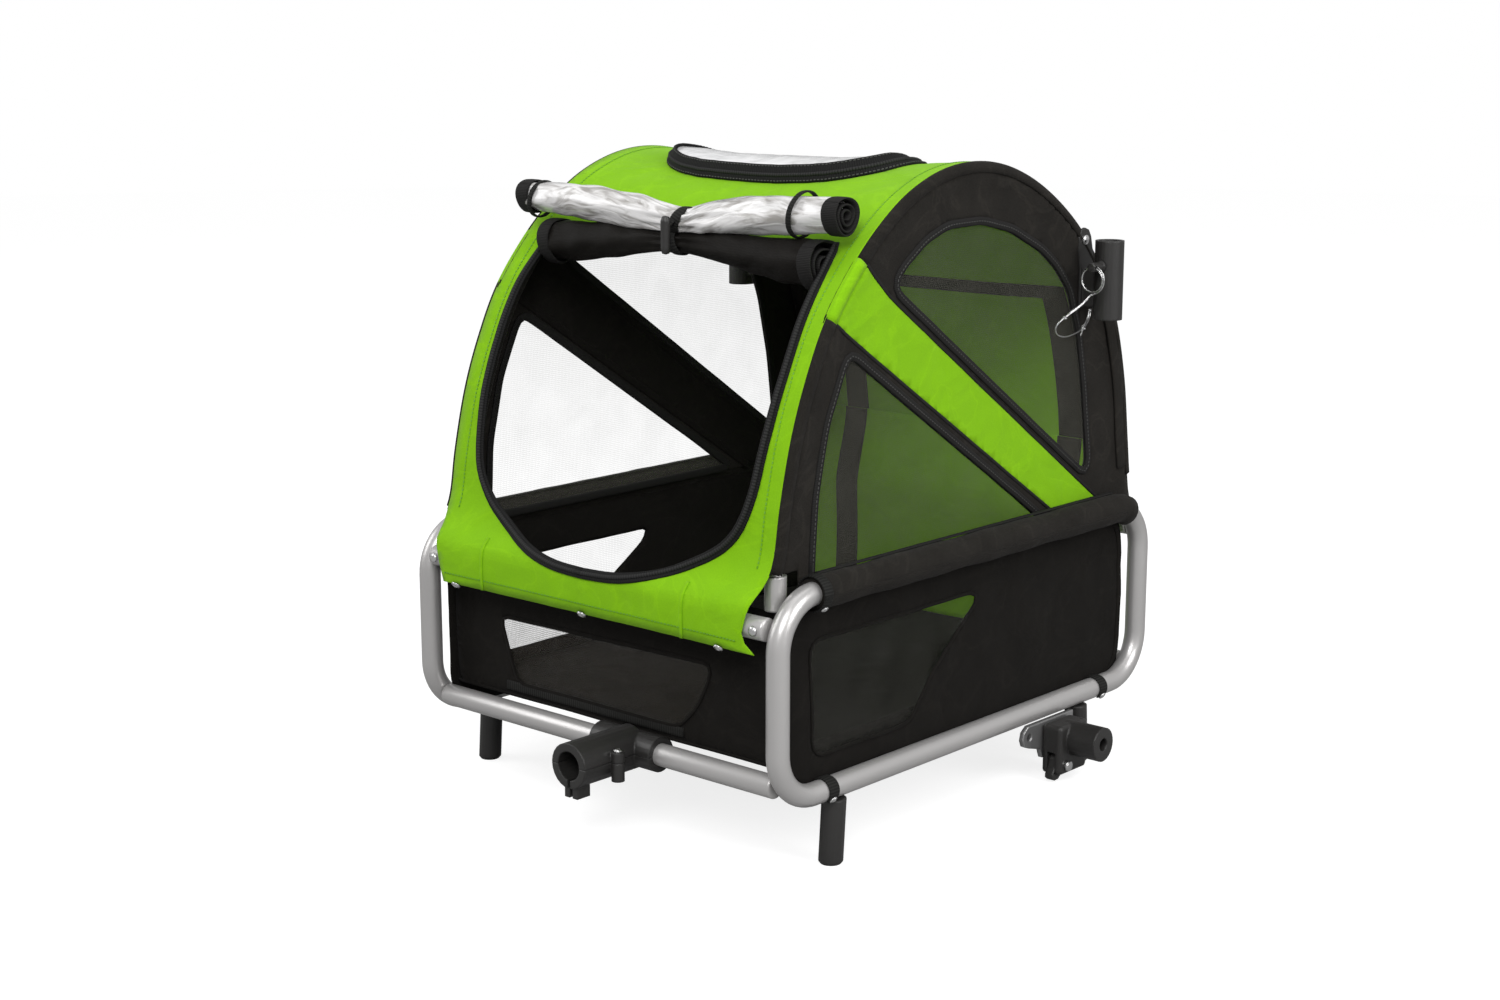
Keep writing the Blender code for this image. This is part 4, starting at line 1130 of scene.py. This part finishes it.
class TRAILER_OT_rolls(bpy.types.Operator):
    """Rolled clear cover and mesh door with their ties"""

    bl_idname = "trailer.rolls"
    bl_label = "Rolled door"

    def execute(self, context):
        clear = self.roll("clear_roll", CLEAR_LINE, CLEAR_SIZE, "rolled_film", 2.0)
        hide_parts("clear_cover_roll")
        dark = self.roll("mesh_roll", MESH_LINE, MESH_SIZE, "rolled_net", 9.0)
        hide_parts("mesh_door_roll")
        self.ends("clear_roll", CLEAR_LINE, CLEAR_SIZE, CLEAR_END_WIDTH)
        self.ends("mesh_roll", MESH_LINE, MESH_SIZE, MESH_END_WIDTH)
        for tie in TIES:
            self.tie(*tie)
        line = smooth_line([at(*p) for p in TOGGLE_STRAP], 5)
        ribbon("toggle_strap", line, Vector((0.0, -0.6, 0.8)), *TOGGLE_SIZE, "webbing")
        return {"FINISHED"}

    def roll(self, name, line, sizes, look, seed):
        """Bundle gathered by its tie, with long folds running to the tie."""
        rings = []
        spots = [at(*p) for p in smooth_line(line, 12)]
        radii = [p.x for p in smooth_line([(r, 0.0) for r in sizes], 12)]
        middle = len(spots) // 2
        for k, (spot, size) in enumerate(zip(spots, radii)):
            near = math.exp(-((k - middle) / 9.0) ** 2)
            ring = []
            for turn in around(40):
                fold = 0.045 * math.sin(5 * turn + 0.10 * k + seed) + 0.14 * near * math.sin(9 * turn + seed)
                fold += 0.10 * ripple(math.cos(turn) * 0.03 + k * 0.004, math.sin(turn) * 0.03, 0.022, seed)
                r = size * (1 + fold)
                ring.append(spot + Vector((0.0, r * math.cos(turn), r * math.sin(turn))))
            rings.append(ring)
        return loft(name, rings[4:-4], look)

    def ends(self, name, line, sizes, width):
        """Bound edge at each end: once round the roll, then wound up in a spiral."""
        for part, sign, place in (("left", 1.0, 0), ("right", -1.0, -1)):
            middle = at(*line[place]) + Vector((sign * width / 2, 0.0, 0.0))
            winding = []
            normals = []
            for share in span(0.0, 1.0, 119):
                turn = -2 * math.pi * END_TURNS * share + 2.4
                r = sizes[place] * (1.06 - 1.22 * max(share - 0.29, 0.0)) * (1 + 0.05 * math.sin(3 * turn))
                out = Vector((0.0, math.cos(turn), math.sin(turn)))
                winding.append(middle + out * r)
                normals.append(out)
            ribbon(f"{name}_end_{part}", winding, normals, width, 0.0016, "binding")

    def tie(self, name, middle, radius, width, slant):
        """Band round a roll, a little askew."""
        normals = [Vector((0.0, math.cos(t), math.sin(t))) for t in around(36)]
        line = [at(*middle) + n * radius + Vector((slant * n.z, 0.0, 0.0)) for n in normals]
        ribbon(name, line, normals, width, 0.0014, "webbing", closed=True)


class TRAILER_OT_frame_tubes(bpy.types.Operator):
    """Bent side loops and straight cross tubes of the frame"""

    bl_idname = "trailer.frame_tubes"
    bl_label = "Frame tubes"

    def execute(self, context):
        low, top = RAIL_LOW_Z + LOOP_BEND_R, RAIL_TOP_Z - LOOP_BEND_R
        front, rear = -LOOP_BEND_Y, LOOP_BEND_Y
        corners = ((rear, low, -90), (rear, top, 0), (front, top, 90), (front, low, 180))
        for name, side in SIDES:
            line = []
            for y, z, start in corners:
                for turn in (math.radians(start + 6 * step) for step in range(16)):
                    line.append(at(side * LOOP_X, y + LOOP_BEND_R * math.cos(turn),
                                   z + LOOP_BEND_R * math.sin(turn)))
            loop = bar(f"side_tube_{name}", line, TUBE_R, "tube_paint", closed=True, sides=28,
                       first=Vector((1.0, 0.0, 0.0)))
            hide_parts(f"side_loop_{name}")
        eased_end = ((0.0, 0.0016), (0.0004, 0.0005), (0.0014, 0.0))
        stations = [(-CROSS_HALF + far, TUBE_R - less) for far, less in eased_end]
        stations += [(-x, r) for x, r in reversed(stations)]
        for end, sign in ENDS:
            for part, y, z in CROSS_TUBES:
                tube = bar(f"cross_bar_{part}_{end}", [at(x, sign * y, z) for x, _ in stations],
                           lambda t: stations[round(t * (len(stations) - 1))][1], "tube_paint", sides=28)
                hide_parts(f"cross_tube_{part}_{end}")
        return {"FINISHED"}


class TRAILER_OT_small_trims(bpy.types.Operator):
    """Webbing loops round the lower rails, rivets and press studs"""

    bl_idname = "trailer.small_trims"
    bl_label = "Loops and studs"

    def execute(self, context):
        for name, side in SIDES:
            for end, y in RAIL_LOOPS:
                turns = [math.radians(angle) for angle in span(150, -50, 20)]
                line, outs = round_rail(side, y, RAIL_LOW_Z, TUBE_R + 0.0008, turns)
                ribbon(f"rail_loop_{end}_{name}", line, outs, *RAIL_LOOP, "webbing")
                spots, outs = round_rail(side, y, RAIL_LOW_Z, TUBE_R + 0.0018, [math.radians(-38)])
                button(f"loop_rivet_{end}_{name}", spots[0], outs[0], RIVET)
            line, outs = round_rail(side, SLEEVE_BAND_Y, RAIL_TOP_Z, 0.0165, around(28))
            ribbon(f"sleeve_band_{name}", line, outs, *SLEEVE_BAND, "webbing", closed=True)
            spots, outs = round_rail(side, SLEEVE_BAND_Y, RAIL_TOP_Z, 0.0176, [math.radians(-52)])
            button(f"sleeve_stud_{name}", spots[0], outs[0], RIVET)
        for k, x in enumerate(HEM_STUDS_X):
            spot = on_skin(x, 0.0010, -0.0006) - Vector((0.0, 0.0, 0.0016))
            button(f"hem_stud_{k + 1}", spot, Vector((0.0, -0.62, -0.78)), HEM_STUD)
        return {"FINISHED"}


class TRAILER_OT_lanyard(bpy.types.Operator):
    """Thin doubled lanyard between the pull ring and the handle socket"""

    bl_idname = "trailer.lanyard"
    bl_label = "Lanyard"

    def execute(self, context):
        line = even_line(smooth_line([at(*p) for p in LANYARD], 8), 0.0030)
        turns = [math.radians(angle) for angle in span(75, -75, 10)]
        eye = [at(RING_X + EYE_R * math.cos(t), RING_Y, RING_Z + EYE_R * math.sin(t)) for t in turns]
        second = [p + Vector((0.0004, 0.0011, 0.0017)) for p in line[2:14]]
        third = [p + Vector((-0.0006, -0.0019, 0.0006)) for p in line[-9:]]
        knot = line[-10]
        pieces = [
            self.strand("lanyard_second", eye + second),
            self.strand("lanyard_third", third),
            self.knot("lanyard_knot_front", line[14]),
            self.knot("lanyard_knot_rear", knot),
            self.strand("lanyard_tail", even_line([knot, knot + Vector((0.002, -0.007, -0.007))], 0.002)),
        ]
        cord = self.strand("lanyard", line)
        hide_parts("pin_lanyard")
        return {"FINISHED"}

    def strand(self, name, line):
        """Strand of cord along a line, baked into place and left without a body."""
        made = bar(name, line, CORD_R, "zinc_plate", sides=8, body=None)
        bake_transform(made)
        return made

    def knot(self, name, spot):
        """Two turns of the cord pulled tight."""
        line = [spot + Vector((0.0013 * math.cos(t), 0.0004 * t - 0.0025, 0.0013 * math.sin(t)))
                for t in span(0.0, 4 * math.pi, 32)]
        return self.strand(name, line)


class TRAILER_OT_stage(bpy.types.Operator):
    """Pale floor, soft light and the camera"""

    bl_idname = "trailer.stage"
    bl_label = "Studio"

    def execute(self, context):
        self.floor()
        self.backdrop(context.scene)
        for lamp in LAMPS:
            self.lamp(*lamp)
        self.camera(context.scene)
        context.scene.view_settings.view_transform = "Standard"
        return {"FINISHED"}

    def floor(self):
        """Wide disc that looks white to the camera and lights the part only a little."""
        shape = bmesh.new()
        bmesh.ops.create_circle(shape, cap_ends=True, segments=96, radius=FLOOR_RADIUS)
        tree, shader = new_material("studio_floor")
        seen = node(tree, "LightPath").outputs["Is Camera Ray"]
        feed(tree, shader, {
            "Base Color": (0.34, 0.34, 0.34, 1.0),
            "Roughness": 1.0,
            "Specular IOR Level": 0.0,
            "Emission Color": WHITE,
            "Emission Strength": maths(tree, "MULTIPLY", seen, 0.82),
        })
        finish_mesh(shape, "studio_floor", "studio_floor")

    def backdrop(self, scene):
        """Backdrop that is plain white to the camera and dimmer as a light."""
        world = bpy.data.worlds.new("studio")
        world.use_nodes = True
        tree = world.node_tree
        light = tree.nodes["Background"]
        feed(tree, light, {"Color": WHITE, "Strength": 0.50})
        plain = node(tree, "Background", {"Color": WHITE, "Strength": 1.0})
        seen = node(tree, "LightPath").outputs["Is Camera Ray"]
        inputs = {"Fac": seen, 1: light.outputs["Background"], 2: plain.outputs["Background"]}
        both = node(tree, "MixShader", inputs)
        tree.links.new(both.outputs["Shader"], tree.nodes["World Output"].inputs["Surface"])
        scene.world = world

    def lamp(self, name, place, size, power):
        data = bpy.data.lights.new(name, "AREA")
        data.shape = "DISK"
        data.size = size
        data.energy = power
        made = bpy.data.objects.new(name, data)
        made.location = place
        made.rotation_euler = (Vector(LAMP_AIM) - Vector(place)).to_track_quat("-Z", "Y").to_euler()
        bpy.context.scene.collection.objects.link(made)

    def camera(self, scene):
        data = bpy.data.cameras.new("photo_view")
        data.sensor_width = CAMERA_SENSOR
        data.lens = CAMERA_LENS
        data.shift_y = CAMERA_SHIFT
        made = bpy.data.objects.new("photo_view", data)
        turn, lift = math.radians(CAMERA_TURN), math.radians(CAMERA_LIFT)
        back = Vector((math.sin(turn) * math.cos(lift), -math.cos(turn) * math.cos(lift), math.sin(lift)))
        made.location = at(*CAMERA_AIM) + back * CAMERA_FAR
        made.rotation_euler = (-back).to_track_quat("-Z", "Y").to_euler()
        scene.collection.objects.link(made)
        scene.camera = made


STEPS = (
    TRAILER_OT_materials,
    TRAILER_OT_stage,
    TRAILER_OT_lanyard,
    TRAILER_OT_body_cloth,
    TRAILER_OT_side_cloth,
    TRAILER_OT_tub,
    TRAILER_OT_rolls,
    TRAILER_OT_frame_tubes,
    TRAILER_OT_small_trims,
)


class TRAILER_PT_panel(bpy.types.Panel):
    """Sidebar panel with the settings and one button for each step"""

    bl_idname = "TRAILER_PT_panel"
    bl_label = "Trailer cabin"
    bl_space_type = "VIEW_3D"
    bl_region_type = "UI"
    bl_category = "Trailer"

    def draw(self, context):
        settings = context.scene.trailer
        for name in settings.bl_rna.properties.keys():
            if name not in ("rna_type", "name"):
                self.layout.prop(settings, name)
        for step in STEPS:
            self.layout.operator(step.bl_idname)


CLASSES = (TrailerSettings, *STEPS, TRAILER_PT_panel)


def register():
    for item in CLASSES:
        bpy.utils.register_class(item)
    bpy.types.Scene.trailer = PointerProperty(type=TrailerSettings)


def unregister():
    del bpy.types.Scene.trailer
    for item in reversed(CLASSES):
        bpy.utils.unregister_class(item)


def main():
    register()
    for step in STEPS:
        group, name = step.bl_idname.split(".")
        getattr(getattr(bpy.ops, group), name)()


if __name__ == "__main__":
    main()
